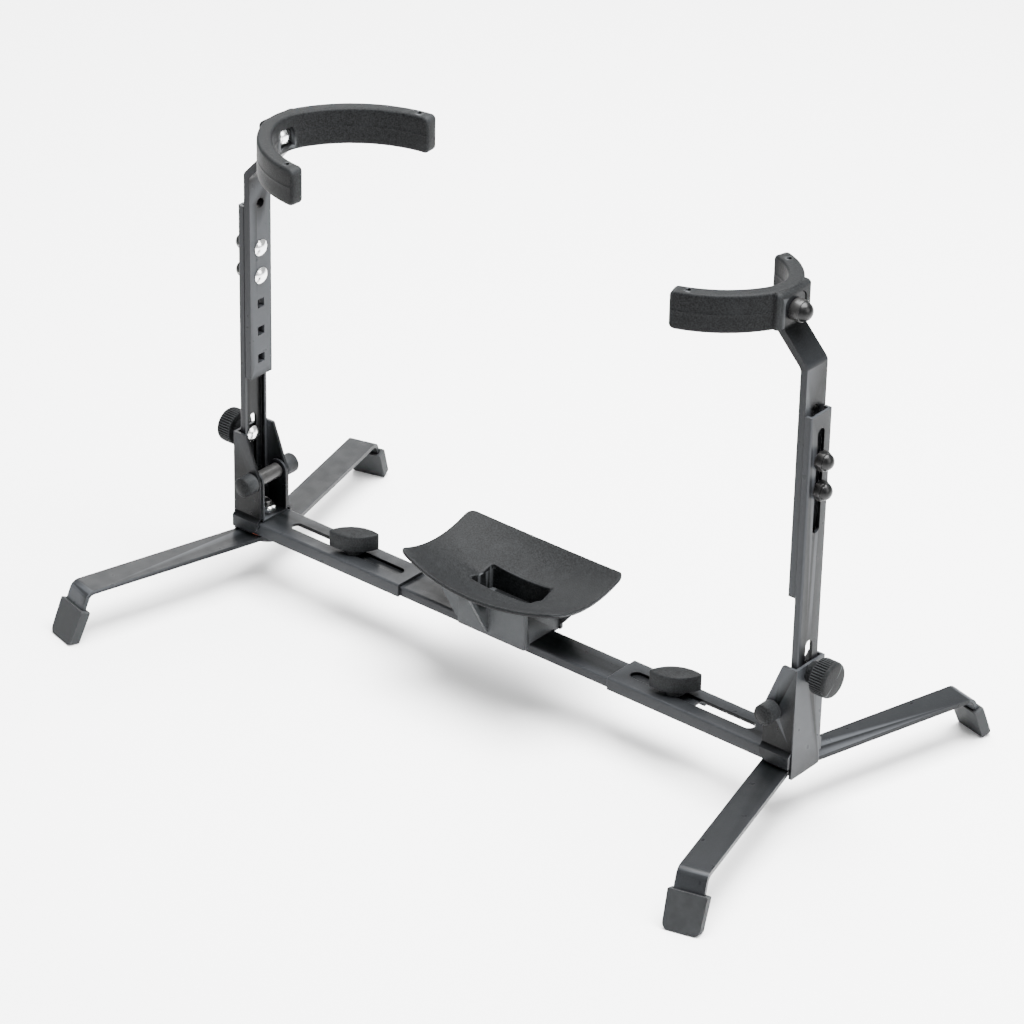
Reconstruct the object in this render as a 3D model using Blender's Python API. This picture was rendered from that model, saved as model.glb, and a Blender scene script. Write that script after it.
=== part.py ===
"""Floor stand for a large wind instrument.

A dished saddle rides on a telescoping rail. At each end of the rail a folding bracket carries a
height-adjustable upright with a C-shaped cradle, and two flat legs swivel under the rail.
X runs along the rail, Y across it and Z up. The origin is on the floor under the saddle's middle.
Each side is modelled for the +X end; the left side is the same set turned half a turn about Z.
"""
import math

import bmesh
import bpy
from mathutils import Matrix, Vector

MM = 0.001
GAP = 0.3 * MM

# Overall layout
WEB_FACE_X = 232.0 * MM
RAIL_TOP = 45.0 * MM
RAIL_WIDTH = 29.0 * MM
RAIL_HEIGHT = 9.0 * MM
SHEET = 2.0 * MM
PIVOT_X = 215.5 * MM
PIN_Z = 74.0 * MM
KNOB_X = 134.0 * MM
CLAMP_Z = 101.0 * MM

# Rails
END_RAIL_X = (87.0 * MM, 227.0 * MM)
END_RAIL_SLOT_X = (95.5 * MM, 192.0 * MM)
RAIL_SLOT_WIDTH = 8.4 * MM
CENTRE_RAIL_HALF = 150.0 * MM
BASE_SHIFT = -4.0 * MM
RAIL_BEND = 1.6 * MM

# Saddle: a doubly curved dish with a well, on a block that straddles the centre rail
DISH_HALF = (64.3 * MM, 34.9 * MM)
DISH_BULGE = 9.5 * MM
DISH_BOTTOM_Z = 69.5 * MM
DISH_RISE = (12.2 * MM, 7.8 * MM)
DISH_THICKNESS = 3.2 * MM
DISH_CORNER = 7.0 * MM
WELL_HALF = (25.0 * MM, 11.8 * MM)
WELL_FLOOR_Z = 55.0 * MM
BLOCK_HALF = (28.0 * MM, 20.0 * MM)
BLOCK_BOTTOM_Z = 41.2 * MM
BLOCK_WALL = 3.2 * MM

# Upright
BRACKET_TOP_Z = 107.0 * MM
BRACKET_BOTTOM_Z = 29.0 * MM
BRACKET_WIDTH = 28.6 * MM
BRACKET_DEPTH = 23.1 * MM
BRACKET_TOP_DEPTH = 10.9 * MM
POST_WIDTH = 20.8 * MM
POST_DEPTH = 5.0 * MM
POST_Z = (62.0 * MM, 275.0 * MM)
POST_UPPER_SLOT_Z = (194.0 * MM, 265.0 * MM)
POST_LOWER_SLOT_Z = (67.0 * MM, 119.6 * MM)
POST_SLOT_WIDTH = 6.8 * MM
BAR_WIDTH = 20.2 * MM
BAR_THICKNESS = 5.0 * MM
BAR_BOTTOM_Z = 151.0 * MM
HOLE_PITCH = 20.0 * MM
HOLE_COUNT = 5
FIRST_HOLE_Z = 164.0 * MM
TOP_HOLE_Z = 276.0 * MM
BAR_JOG = 18.6 * MM
BAR_JOG_RISE = 19.8 * MM
BAR_JOG_Z = 304.5 * MM
BAR_BEND = 5.0 * MM
BAR_TOP_OVER_BOLT = 9.0 * MM
RAISED = {"left": -3.5 * MM, "right": 2.5 * MM}

# Cradles: each arm bends in two arcs, given as (radius, angle reached); the low-Y arm is longer
TOP_DROP = {"left": 7.5 * MM, "right": 0.0}
CRADLE_Z = (325.8 * MM, 350.8 * MM)
CRADLE_BOLT_Z = 336.2 * MM
CRADLE_BAND = 10.0 * MM
CRADLE_BACK_X = {"left": 200.6 * MM, "right": 200.4 * MM}
LONG_ARM = {"left": ((36.4 * MM, 26.4), (84.4 * MM, 85.4)), "right": ((30.7 * MM, 31.2), (77.2 * MM, 73.0))}
SHORT_ARM = {"left": ((36.4 * MM, 26.4), (66.5 * MM, 88.9)), "right": ((23.1 * MM, 33.9), (41.7 * MM, 77.0))}
ARM_END_FILLET = 2.6 * MM
BOSS_HALF = 16.0 * MM
BOSS_LIFT = 0.5 * MM
RECESS_OVER_BAR = 0.4 * MM
WINDOW_HALF = 6.6 * MM
WINDOW_DEPTH = 3.2 * MM
TIP_HOLE_RADIUS = 1.7 * MM
TIP_HOLE_DEPTH = 5.0 * MM
TIP_HOLE_INSET = 10.0 * MM

# Legs
LEG_SPLAY = 15.0
LEG_WIDTH = 20.0 * MM
LEG_THICKNESS = 3.0 * MM
FOOT_REACH = 161.3 * MM
TOE_Z = 4.0 * MM
UPPER_LEG_Z = 31.6 * MM
LOWER_LEG_Z = 28.3 * MM
FOOT_LEAN = 22.5
FOOT_TOP_WIDTH = 26.0 * MM
FOOT_BOTTOM_WIDTH = 24.3 * MM
FOOT_LENGTH = 24.0 * MM
FOOT_THICKNESS = 7.2 * MM
LEG_BEND_RADIUS = 7.0 * MM
WASHER_RADIUS = 14.1 * MM

# Fasteners
BOLT_RADIUS = 3.0 * MM
HOLE_RADIUS = 3.4 * MM
SQUARE_HALF = 3.1 * MM
ROUND = 12
FINE_ROUND = 20


def clear_scene():
    """Remove whatever the file holds."""
    for obj in list(bpy.data.objects):
        bpy.data.objects.remove(obj)


def material(name, colour, roughness, metallic):
    """A Principled material with one colour."""
    made = bpy.data.materials.new(name)
    made.use_nodes = True
    shader = made.node_tree.nodes["Principled BSDF"]
    shader.inputs["Base Color"].default_value = (*colour, 1.0)
    shader.inputs["Roughness"].default_value = roughness
    shader.inputs["Metallic"].default_value = metallic
    return made


def empty(name, location, parent=None, turn=0.0):
    """An axis marker that moving pieces hang on."""
    marker = bpy.data.objects.new(name, None)
    bpy.context.scene.collection.objects.link(marker)
    marker.empty_display_size = 0.02
    marker.location = location
    marker.rotation_euler = (0.0, 0.0, turn)
    marker.parent = parent
    return marker


def to_object(name, bm, finish=None, smooth=False):
    """Turn a bmesh into a linked object with outward faces."""
    bmesh.ops.recalc_face_normals(bm, faces=bm.faces)
    mesh = bpy.data.meshes.new(name)
    bm.to_mesh(mesh)
    bm.free()
    if smooth:
        mesh.shade_smooth()
        mesh.set_sharp_from_angle(angle=math.radians(35.0))
    obj = bpy.data.objects.new(name, mesh)
    bpy.context.scene.collection.objects.link(obj)
    if finish:
        mesh.materials.append(finish)
    return obj


def fillet(points, radii, steps=4):
    """Round the corners of a closed 2-D outline."""
    outline = []
    for index, (point, radius) in enumerate(zip(points, radii)):
        corner = Vector(point)
        if radius == 0.0:
            outline.append(corner)
            continue
        back = (Vector(points[index - 1]) - corner).normalized()
        ahead = (Vector(points[(index + 1) % len(points)]) - corner).normalized()
        half = back.angle(ahead) / 2.0
        centre = corner + (back + ahead).normalized() * (radius / math.sin(half))
        start = corner + back * (radius / math.tan(half)) - centre
        end = corner + ahead * (radius / math.tan(half)) - centre
        sweep = math.atan2(start.x * end.y - start.y * end.x, start.dot(end))
        for step in range(steps + 1):
            outline.append(centre + Matrix.Rotation(sweep * step / steps, 2) @ start)
    return outline


def arc(centre, radius, start, end, steps):
    """Points along an arc, in degrees."""
    angles = [math.radians(start + (end - start) * step / steps) for step in range(steps + 1)]
    return [(centre[0] + radius * math.cos(a), centre[1] + radius * math.sin(a)) for a in angles]


def slot_outline(low, high, width, middle=0.0):
    """A slot with round ends; it runs along the outline's first direction."""
    radius = width / 2.0
    right = arc((high - radius, middle), radius, -90.0, 90.0, 10)
    left = arc((low + radius, middle), radius, 90.0, 270.0, 10)
    return right + left


def prism(name, outline, along, low, high, finish=None, smooth=False):
    """Extrude an outline. Along X it lies in YZ, along Y in XZ, and along Z in XY."""
    place = {
        "X": lambda u, v, w: (w, u, v),
        "Y": lambda u, v, w: (u, w, v),
        "Z": lambda u, v, w: (u, v, w),
    }[along]
    bm = bmesh.new()
    ends = [[bm.verts.new(place(u, v, w)) for u, v in outline] for w in (low, high)]
    for ring in ends:
        bm.faces.new(ring)
    count = len(outline)
    for i in range(count):
        j = (i + 1) % count
        bm.faces.new((ends[0][i], ends[0][j], ends[1][j], ends[1][i]))
    return to_object(name, bm, finish, smooth)


def box(name, low, high):
    """A plain block between two corners."""
    outline = [(low[0], low[1]), (high[0], low[1]), (high[0], high[1]), (low[0], high[1])]
    return prism(name, outline, "Z", low[2], high[2])


def combine(obj, operation, tools):
    """Boolean each tool into the object, then drop the tools."""
    for tool in tools:
        step = obj.modifiers.new("step", "BOOLEAN")
        step.operation = operation
        step.object = tool
        step.solver = "EXACT"
        graph = bpy.context.evaluated_depsgraph_get()
        result = bpy.data.meshes.new_from_object(obj.evaluated_get(graph))
        obj.modifiers.clear()
        obj.data = result
        bpy.data.objects.remove(tool)
    return obj


def cut(obj, *tools):
    return combine(obj, "DIFFERENCE", tools)


def join(obj, *tools):
    return combine(obj, "UNION", tools)


def circle(radius, height, count=ROUND):
    """A ring of points about Z."""
    turns = [2.0 * math.pi * i / count for i in range(count)]
    return [Vector((radius * math.cos(a), radius * math.sin(a), height)) for a in turns]


def flats(sides, apothem, height, count=ROUND):
    """A regular polygon sampled at the same angles as a circle."""
    step = 2.0 * math.pi / sides
    ring = []
    for i in range(count):
        angle = 2.0 * math.pi * i / count
        off = (angle + step / 2.0) % step - step / 2.0
        radius = apothem / math.cos(off)
        ring.append(Vector((radius * math.cos(angle), radius * math.sin(angle), height)))
    return ring


def loft(name, rings, direction, base, finish, closed=False):
    """Skin a stack of rings, turned from Z to the given direction and moved to the base point."""
    turn = Vector((0.0, 0.0, 1.0)).rotation_difference(Vector(direction)).to_matrix().to_4x4()
    place = Matrix.Translation(Vector(base)) @ turn
    bm = bmesh.new()
    loops = [[bm.verts.new(place @ point) for point in ring] for ring in rings]
    pairs = list(zip(loops, loops[1:]))
    if closed:
        pairs.append((loops[-1], loops[0]))
    else:
        bm.faces.new(loops[0])
        bm.faces.new(loops[-1])
    for lower, upper in pairs:
        count = len(lower)
        for i in range(count):
            j = (i + 1) % count
            bm.faces.new((lower[i], lower[j], upper[j], upper[i]))
    return to_object(name, bm, finish, smooth=True)


def rod(name, radius, direction, base, length, finish=None, count=ROUND):
    """A round bar."""
    return loft(name, [circle(radius, 0.0, count), circle(radius, length, count)], direction, base, finish)


def dome(radius, height, base_height, steps=3):
    """Circles that close a round top."""
    rings = []
    for step in range(1, steps + 1):
        angle = math.pi / 2.0 * step / (steps + 0.5)
        rings.append(circle(radius * math.cos(angle), base_height + height * math.sin(angle)))
    return rings


def washer(name, inner, outer, direction, base, thickness, finish, count=ROUND):
    """A flat ring or a sleeve."""
    rings = [
        circle(inner, 0.0, count),
        circle(outer, 0.0, count),
        circle(outer, thickness, count),
        circle(inner, thickness, count),
    ]
    return loft(name, rings, direction, base, finish, closed=True)


def carriage_bolt(name, direction, base, length, finish, square=0.0):
    """Domed head behind the base point, shank in front of it, with an optional square neck."""
    head = 5.8 * MM
    rise = 2.6 * MM
    rings = [circle(r, -h) for r, h in ((1.3 * MM, rise), (3.6 * MM, rise * 0.84), (5.2 * MM, rise * 0.42))]
    rings.append(circle(head, 0.0))
    if square:
        rings.append(flats(4, SQUARE_HALF - GAP, 0.0))
        rings.append(flats(4, SQUARE_HALF - GAP, square))
    rings.append(circle(BOLT_RADIUS, square))
    rings.append(circle(BOLT_RADIUS, length))
    return loft(name, rings, direction, base, finish)


def cap_nut(name, direction, base, finish):
    """Hexagon nut with a domed top and a blind hole at the base point."""
    bore = BOLT_RADIUS + GAP
    rings = [circle(bore, 6.2 * MM), circle(bore, 0.0), flats(6, 5.7 * MM, 0.0), flats(6, 5.7 * MM, 4.6 * MM)]
    rings.append(circle(5.5 * MM, 5.0 * MM))
    rings.extend(dome(5.4 * MM, 4.0 * MM, 5.4 * MM))
    return loft(name, rings, direction, base, finish)


def channel(width, height, bend):
    """Section of a channel that is open downwards, with its top at zero."""
    half = width / 2.0
    points = [
        (-half, -height),
        (-half, 0.0),
        (half, 0.0),
        (half, -height),
        (half - SHEET, -height),
        (half - SHEET, -SHEET),
        (-half + SHEET, -SHEET),
        (-half + SHEET, -height),
    ]
    return fillet(points, [0.0, bend, bend, 0.0, 0.0, bend / 3.0, bend / 3.0, 0.0], 3)


def ride(obj, axis):
    """Hang a piece on an axis marker and put its origin there."""
    bpy.context.view_layer.update()
    home = axis.matrix_world if axis.parent is None else side_matrix(axis)
    obj.data.transform(Matrix.Translation(-home.translation))
    obj.parent = axis
    return obj


def side_matrix(axis):
    """Place of a marker in its own side's frame."""
    offset = Vector()
    marker = axis
    while marker.parent is not None:
        offset += marker.location
        marker = marker.parent
    return Matrix.Translation(offset)


def make_materials():
    """Finishes of the whole stand."""
    return {
        "steel": material("coated_steel", (0.055, 0.058, 0.062), 0.45, 0.3),
        "plastic": material("textured_plastic", (0.075, 0.078, 0.082), 0.6, 0.0),
        "zinc": material("zinc_plate", (0.75, 0.76, 0.77), 0.22, 1.0),
        "fibre": material("red_fibre", (0.55, 0.12, 0.09), 0.6, 0.0),
        "rubber": material("foot_rubber", (0.085, 0.088, 0.09), 0.8, 0.0),
        "black": material("black_fasteners", (0.02, 0.02, 0.022), 0.35, 0.6),
    }


def centre_rail(finish):
    """Inner rail with a hole for the saddle screw and one for each rail knob."""
    top = RAIL_TOP - SHEET - GAP
    width = RAIL_WIDTH - 2.0 * SHEET - 2.0 * GAP
    section = [(y, z + top) for y, z in channel(width, 6.7 * MM, RAIL_BEND)]
    rail = prism("centre_rail", section, "X", -CENTRE_RAIL_HALF, CENTRE_RAIL_HALF, finish["steel"])
    holes = [rod("hole", HOLE_RADIUS, (0, 0, 1), (x, 0, 30 * MM), 20 * MM) for x in (-KNOB_X, 0.0, KNOB_X)]
    return cut(rail, *holes)


def dish_height(x, y):
    """Top surface of the dish."""
    rise_x = DISH_RISE[0] * (x / DISH_HALF[0]) ** 2
    rise_y = DISH_RISE[1] * (y / DISH_HALF[1]) ** 2
    return DISH_BOTTOM_Z + rise_x + rise_y


def dish_outline():
    """Barrel-shaped plan with rounded corners."""
    reach = DISH_HALF[1] + DISH_BULGE
    sagitta_radius = (DISH_HALF[0] ** 2 + DISH_BULGE ** 2) / (2.0 * DISH_BULGE)
    half_angle = math.degrees(math.asin(DISH_HALF[0] / sagitta_radius))
    front = arc((0.0, sagitta_radius - reach), sagitta_radius, 270 - half_angle, 270 + half_angle, 10)
    back = arc((0.0, reach - sagitta_radius), sagitta_radius, 90 - half_angle, 90 + half_angle, 10)
    points = front + back
    corners = {0, len(front) - 1, len(front), len(points) - 1}
    radii = [DISH_CORNER if i in corners else 0.0 for i in range(len(points))]
    return fillet(points, radii, 3)


def dish():
    """Curved slab trimmed to the barrel plan."""
    columns = 14
    rows = 10
    reach_x = DISH_HALF[0] + 2.0 * MM
    reach_y = DISH_HALF[1] + DISH_BULGE + 2.0 * MM
    bm = bmesh.new()
    layers = []
    for drop in (0.0, DISH_THICKNESS):
        grid = []
        for i in range(columns + 1):
            x = reach_x * (2.0 * i / columns - 1.0)
            ys = [reach_y * (2.0 * j / rows - 1.0) for j in range(rows + 1)]
            grid.append([bm.verts.new((x, y, dish_height(x, y) - drop)) for y in ys])
        layers.append(grid)
    for grid in layers:
        for i in range(columns):
            for j in range(rows):
                bm.faces.new((grid[i][j], grid[i + 1][j], grid[i + 1][j + 1], grid[i][j + 1]))
    rim = [(i, 0) for i in range(columns)] + [(columns, j) for j in range(rows)]
    rim += [(i, rows) for i in range(columns, 0, -1)] + [(0, j) for j in range(rows, 0, -1)]
    top, under = layers
    for (i, j), (k, m) in zip(rim, rim[1:] + rim[:1]):
        bm.faces.new((top[i][j], top[k][m], under[k][m], under[i][j]))
    slab = to_object("saddle", bm)
    trim = prism("trim", dish_outline(), "Z", 50 * MM, 110 * MM)
    return combine(slab, "INTERSECT", [trim])


def saddle(finish):
    """Dish, straddling block, ribs and gussets as one moulding."""
    body = dish()
    half_x, half_y = BLOCK_HALF
    under = DISH_BOTTOM_Z - 0.8 * MM
    join(body, box("block", (-half_x, -half_y, BLOCK_BOTTOM_Z), (half_x, half_y, under)))
    for y, end in ((-half_y, -1.0), (half_y - BLOCK_WALL, 1.0)):
        plate = [
            (end * (half_x - 1.0 * MM), 46.0 * MM),
            (end * (half_x + 1.0 * MM), 46.0 * MM),
            (end * 56.0 * MM, dish_height(56.0 * MM, 18.0 * MM) - 1.4 * MM),
            (end * (half_x - 1.0 * MM), dish_height(half_x, 18.0 * MM) - 1.4 * MM),
        ]
        join(body, prism("gusset", plate, "Y", y, y + BLOCK_WALL))
    for side in (-1.0, 1.0):
        rib = [
            (side * (half_y - 1.0 * MM), 44.0 * MM),
            (side * (half_y + 0.5 * MM), 44.0 * MM),
            (side * 40.0 * MM, dish_height(0.0, 40.0 * MM) - 1.6 * MM),
            (side * (half_y - 1.0 * MM), dish_height(0.0, half_y) - 1.6 * MM),
        ]
        join(body, prism("rib", rib, "X", -4.4 * MM, -2.0 * MM))
    pocket_low = (half_x - 3.2 * MM, -half_y + BLOCK_WALL, 46.5 * MM)
    pocket_high = (half_x + 1.0 * MM, half_y - BLOCK_WALL, 66.0 * MM)
    cut(body, box("pocket", pocket_low, pocket_high))
    mirrored = (-pocket_high[0], pocket_low[1], pocket_low[2]), (-pocket_low[0], pocket_high[1], pocket_high[2])
    cut(body, box("pocket", *mirrored))
    well = fillet(
        [(-WELL_HALF[0], -WELL_HALF[1]), (WELL_HALF[0], -WELL_HALF[1]), WELL_HALF, (-WELL_HALF[0], WELL_HALF[1])],
        [2.0 * MM] * 4,
        3,
    )
    rail_half = RAIL_WIDTH / 2.0 - SHEET
    rail_top = RAIL_TOP - SHEET
    cut(
        body,
        prism("well", well, "Z", WELL_FLOOR_Z, 100 * MM),
        box("channel", (-40 * MM, -rail_half, 30 * MM), (40 * MM, rail_half, rail_top)),
        rod("hole", HOLE_RADIUS, (0, 0, 1), (0, 0, 38 * MM), 30 * MM),
    )
    body.data.materials.clear()
    body.data.materials.append(finish["plastic"])
    return body


def saddle_screw(finish):
    """Pan-head screw from the well's floor into the centre rail."""
    top = WELL_FLOOR_Z + GAP
    head = [
        circle(2.2 * MM, 2.0 * MM),
        circle(2.2 * MM, 3.2 * MM),
        circle(4.4 * MM, 3.0 * MM),
        circle(5.6 * MM, 1.8 * MM),
        circle(5.8 * MM, 0.0),
        circle(BOLT_RADIUS, 0.0),
        circle(BOLT_RADIUS, -17.5 * MM),
    ]
    return loft("saddle_screw", head, (0, 0, 1), (0, 0, top), finish["zinc"])


def rail_knob(name, axis, finish):
    """Lens-shaped wing knob with a round neck and a threaded stud."""
    long_half = 17.0 * MM
    short_half = 7.4 * MM
    radius = (long_half ** 2 + short_half ** 2) / (2.0 * short_half)
    half_angle = math.degrees(math.asin(long_half / radius))
    one = arc((0.0, short_half - radius), radius, 90 - half_angle, 90 + half_angle, 10)
    two = arc((0.0, radius - short_half), radius, 270 - half_angle, 270 + half_angle, 10)
    points = one + two[1:-1]
    tips = {0, len(one) - 1}
    lens = fillet(points, [1.2 * MM if i in tips else 0.0 for i in range(len(points))], 3)
    wing_turn = Matrix.Rotation(math.radians(32.0), 2)
    lens = [wing_turn @ point for point in lens]
    low = RAIL_TOP + 3.0 * MM
    wing = prism(name, lens, "Z", low, low + 12.5 * MM, smooth=True)
    join(
        wing,
        rod("neck", 7.0 * MM, (0, 0, 1), (0, 0, RAIL_TOP + GAP), 4.0 * MM, count=FINE_ROUND),
        rod("stud", BOLT_RADIUS, (0, 0, 1), (0, 0, 36.4 * MM), 14 * MM),
    )
    wing.data.materials.clear()
    wing.data.materials.append(finish["plastic"])
    wing.data.transform(Matrix.Translation((axis.location.x, 0, 0)))
    return ride(wing, axis)


def rail_knob_nut(name, side, finish):
    """Square nut held under the centre rail's web."""
    top = RAIL_TOP - 2.0 * SHEET - 2.0 * GAP
    bore = BOLT_RADIUS + GAP
    rings = [circle(bore, 0.0), flats(4, 5.0 * MM, 0.0), flats(4, 5.0 * MM, -3.2 * MM), circle(bore, -3.2 * MM)]
    nut = loft(name, rings, (0, 0, 1), (KNOB_X, 0, top), finish["zinc"], closed=True)
    nut.parent = side
    return nut


def end_rail(name, axis, finish):
    """Outer rail with the long adjusting slot and the hole for the leg bolt."""
    section = [(y, z + RAIL_TOP) for y, z in channel(RAIL_WIDTH, RAIL_HEIGHT, RAIL_BEND)]
    rail = prism(name, section, "X", *END_RAIL_X, finish["steel"])
    slot = slot_outline(*END_RAIL_SLOT_X, RAIL_SLOT_WIDTH)
    cut(
        rail,
        prism("slot", slot, "Z", 40 * MM, 50 * MM),
        rod("hole", HOLE_RADIUS, (0, 0, 1), (PIVOT_X, 0, 30 * MM), 20 * MM),
    )
    return ride(rail, axis)


def hinge_ears(name, axis, finish):
    """Welded U on the rail's end, whose ears carry the hinge pin."""
    inner = BRACKET_WIDTH / 2.0 - SHEET - GAP
    ear = 1.5 * MM
    base = RAIL_TOP + GAP
    low_x = PIVOT_X - 7.5 * MM
    high_x = PIVOT_X + 7.5 * MM
    section = fillet(
        [
            (-inner, PIN_Z + 7.5 * MM),
            (-inner, base),
            (inner, base),
            (inner, PIN_Z + 7.5 * MM),
            (inner - ear, PIN_Z + 7.5 * MM),
            (inner - ear, base + ear),
            (-inner + ear, base + ear),
            (-inner + ear, PIN_Z + 7.5 * MM),
        ],
        [0.0, 2.0 * MM, 2.0 * MM, 0.0, 0.0, 0.5 * MM, 0.5 * MM, 0.0],
        3,
    )
    ears = prism(name, section, "X", low_x, high_x, finish["steel"])
    side_view = [(low_x - 1 * MM, base - 1 * MM), (high_x + 1 * MM, base - 1 * MM)]
    side_view += arc((PIVOT_X, PIN_Z), 7.4 * MM, 0.0, 180.0, 10)
    combine(ears, "INTERSECT", [prism("shape", side_view, "Y", -20 * MM, 20 * MM)])
    cut(
        ears,
        rod("pin_hole", HOLE_RADIUS, (0, 1, 0), (PIVOT_X, -20 * MM, PIN_Z), 40 * MM),
        rod("bolt_hole", HOLE_RADIUS, (0, 0, 1), (PIVOT_X, 0, 40 * MM), 12 * MM),
    )
    return ride(ears, axis)


def post_bracket(name, axis, finish):
    """Folded bracket: outer web, two side plates that step out over the rail, slanted at the top."""
    half = BRACKET_WIDTH / 2.0
    step_out = 2.9 * MM
    inner_x = WEB_FACE_X - BRACKET_DEPTH
    top_x = WEB_FACE_X - BRACKET_TOP_DEPTH
    web_x = WEB_FACE_X - SHEET
    step_z = (45.8 * MM, 48.6 * MM)
    plate_low = 37.2 * MM
    outline = fillet(
        [
            (inner_x, plate_low),
            (web_x + 1.0 * MM, plate_low),
            (web_x + 1.0 * MM, BRACKET_TOP_Z),
            (top_x, BRACKET_TOP_Z),
            (inner_x, 75.7 * MM),
        ],
        [7.0 * MM, 0.0, 0.0, 1.2 * MM, 1.5 * MM],
        5,
    )
    body = prism(
        name,
        fillet(
            [
                (-half, BRACKET_BOTTOM_Z),
                (half, BRACKET_BOTTOM_Z),
                (half, BRACKET_TOP_Z),
                (-half, BRACKET_TOP_Z),
            ],
            [1.0 * MM, 1.0 * MM, 0.0, 0.0],
        ),
        "X",
        web_x,
        WEB_FACE_X,
        finish["steel"],
    )
    for side in (-1.0, 1.0):
        low_half = half + step_out
        profile = [
            (side * half, 120 * MM),
            (side * half, step_z[1]),
            (side * low_half, step_z[0]),
            (side * low_half, 30 * MM),
            (side * (low_half - SHEET), 30 * MM),
            (side * (low_half - SHEET), step_z[0] - 0.5 * MM),
            (side * (half - SHEET), step_z[1] - 0.5 * MM),
            (side * (half - SHEET), 120 * MM),
        ]
        plate = prism("plate", profile, "X", inner_x - 2 * MM, WEB_FACE_X - 0.2 * MM)
        combine(plate, "INTERSECT", [prism("shape", outline, "Y", -30 * MM, 30 * MM)])
        join(body, plate)
    cut(
        body,
        rod("pin_hole", HOLE_RADIUS, (0, 1, 0), (PIVOT_X, -30 * MM, PIN_Z), 60 * MM),
        rod("clamp_hole", HOLE_RADIUS, (1, 0, 0), (web_x - 3 * MM, 0, CLAMP_Z), 8 * MM),
    )
    return ride(body, axis)


def hinge_pin(name, axis, finish):
    """Plain pin through the bracket and the ears."""
    half = BRACKET_WIDTH / 2.0 + 6.0 * MM
    return ride(rod(name, BOLT_RADIUS, (0, 1, 0), (PIVOT_X, -half, PIN_Z), 2.0 * half, finish["zinc"]), axis)


def hinge_sleeve(name, axis, finish):
    """Spacer tube between the ears."""
    half = BRACKET_WIDTH / 2.0 - SHEET - 1.5 * MM - 2.0 * GAP
    tube = washer(name, HOLE_RADIUS, 5.0 * MM, (0, 1, 0), (PIVOT_X, -half, PIN_Z), 2.0 * half, finish["black"])
    return ride(tube, axis)


def pin_cap(name, axis, toward, finish):
    """Push-on cap with a gently domed end."""
    base = (PIVOT_X, toward * (BRACKET_WIDTH / 2.0 + GAP), PIN_Z)
    bore = BOLT_RADIUS + GAP
    rings = [
        circle(bore, 6.4 * MM),
        circle(bore, 0.0),
        circle(7.0 * MM, 0.0),
        circle(6.6 * MM, 9.2 * MM),
        circle(5.6 * MM, 10.2 * MM),
        circle(2.8 * MM, 11.4 * MM),
    ]
    return ride(loft(name, rings, (0, toward, 0), base, finish["plastic"]), axis)


def leg_bolt(name, axis, finish):
    """Round-headed bolt that clamps the washer and both legs under the rail."""
    top = LOWER_LEG_Z - GAP
    rings = [
        circle(3.6 * MM, -3.6 * MM),
        circle(6.4 * MM, -2.9 * MM),
        circle(7.4 * MM, -1.4 * MM),
        circle(7.4 * MM, 0.0),
        circle(BOLT_RADIUS, 0.0),
        circle(BOLT_RADIUS, 27.0 * MM),
    ]
    return ride(loft(name, rings, (0, 0, 1), (PIVOT_X, 0, top), finish["black"]), axis)


def leg_nut(name, axis, finish):
    """Hexagon nut on the ears' base plate."""
    base = RAIL_TOP + GAP + 1.5 * MM + GAP
    bore = BOLT_RADIUS + GAP
    rings = [
        circle(bore, 0.0),
        flats(6, 5.0 * MM, 0.0),
        flats(6, 5.0 * MM, 4.6 * MM),
        circle(4.7 * MM, 5.0 * MM),
        circle(bore, 5.0 * MM),
    ]
    nut = loft(name, rings, (0, 0, 1), (PIVOT_X, 0, base), finish["zinc"], closed=True)
    return ride(nut, axis)


def leg_reach(low):
    """Distance from the pivot to where a leg's top and outer faces would meet."""
    lean = math.radians(FOOT_LEAN)
    proud = (FOOT_THICKNESS - LEG_THICKNESS) / 2.0 / math.cos(lean)
    return FOOT_REACH - proud - (low + LEG_THICKNESS) * math.tan(lean)


def leg_profile(low):
    """Side view of a leg from its eye to the bent toe: distance out, and height."""
    lean = math.radians(FOOT_LEAN)
    high = low + LEG_THICKNESS
    reach = leg_reach(low)
    run = (high - TOE_Z) * math.tan(lean)
    across = LEG_THICKNESS / math.cos(lean)
    points = [
        (-LEG_WIDTH, high),
        (reach, high),
        (reach + run, TOE_Z),
        (reach + run - across, TOE_Z),
        (reach - LEG_THICKNESS * math.tan(math.radians(45.0 - FOOT_LEAN / 2.0)), low),
        (-LEG_WIDTH, low),
    ]
    return fillet(points, [0.0, LEG_BEND_RADIUS, 0.0, 0.0, LEG_BEND_RADIUS - LEG_THICKNESS, 0.0], 5)


def leg(name, axis, low, angle, finish):
    """Flat strip, round at the pivot and bent down at the toe."""
    half = LEG_WIDTH / 2.0
    strip = prism(name, leg_profile(low), "Y", -LEG_WIDTH, LEG_WIDTH, finish["steel"])
    plan = arc((0.0, 0.0), half, 90.0, 270.0, 14) + [(2.0 * FOOT_REACH, -half), (2.0 * FOOT_REACH, half)]
    combine(strip, "INTERSECT", [prism("plan", plan, "Z", -FOOT_REACH, FOOT_REACH)])
    cut(strip, rod("hole", HOLE_RADIUS, (0, 0, 1), (0, 0, low - 5 * MM), 14 * MM))
    strip.data.transform(Matrix.Rotation(math.radians(angle), 4, "Z"))
    strip.parent = axis
    return strip


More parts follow.
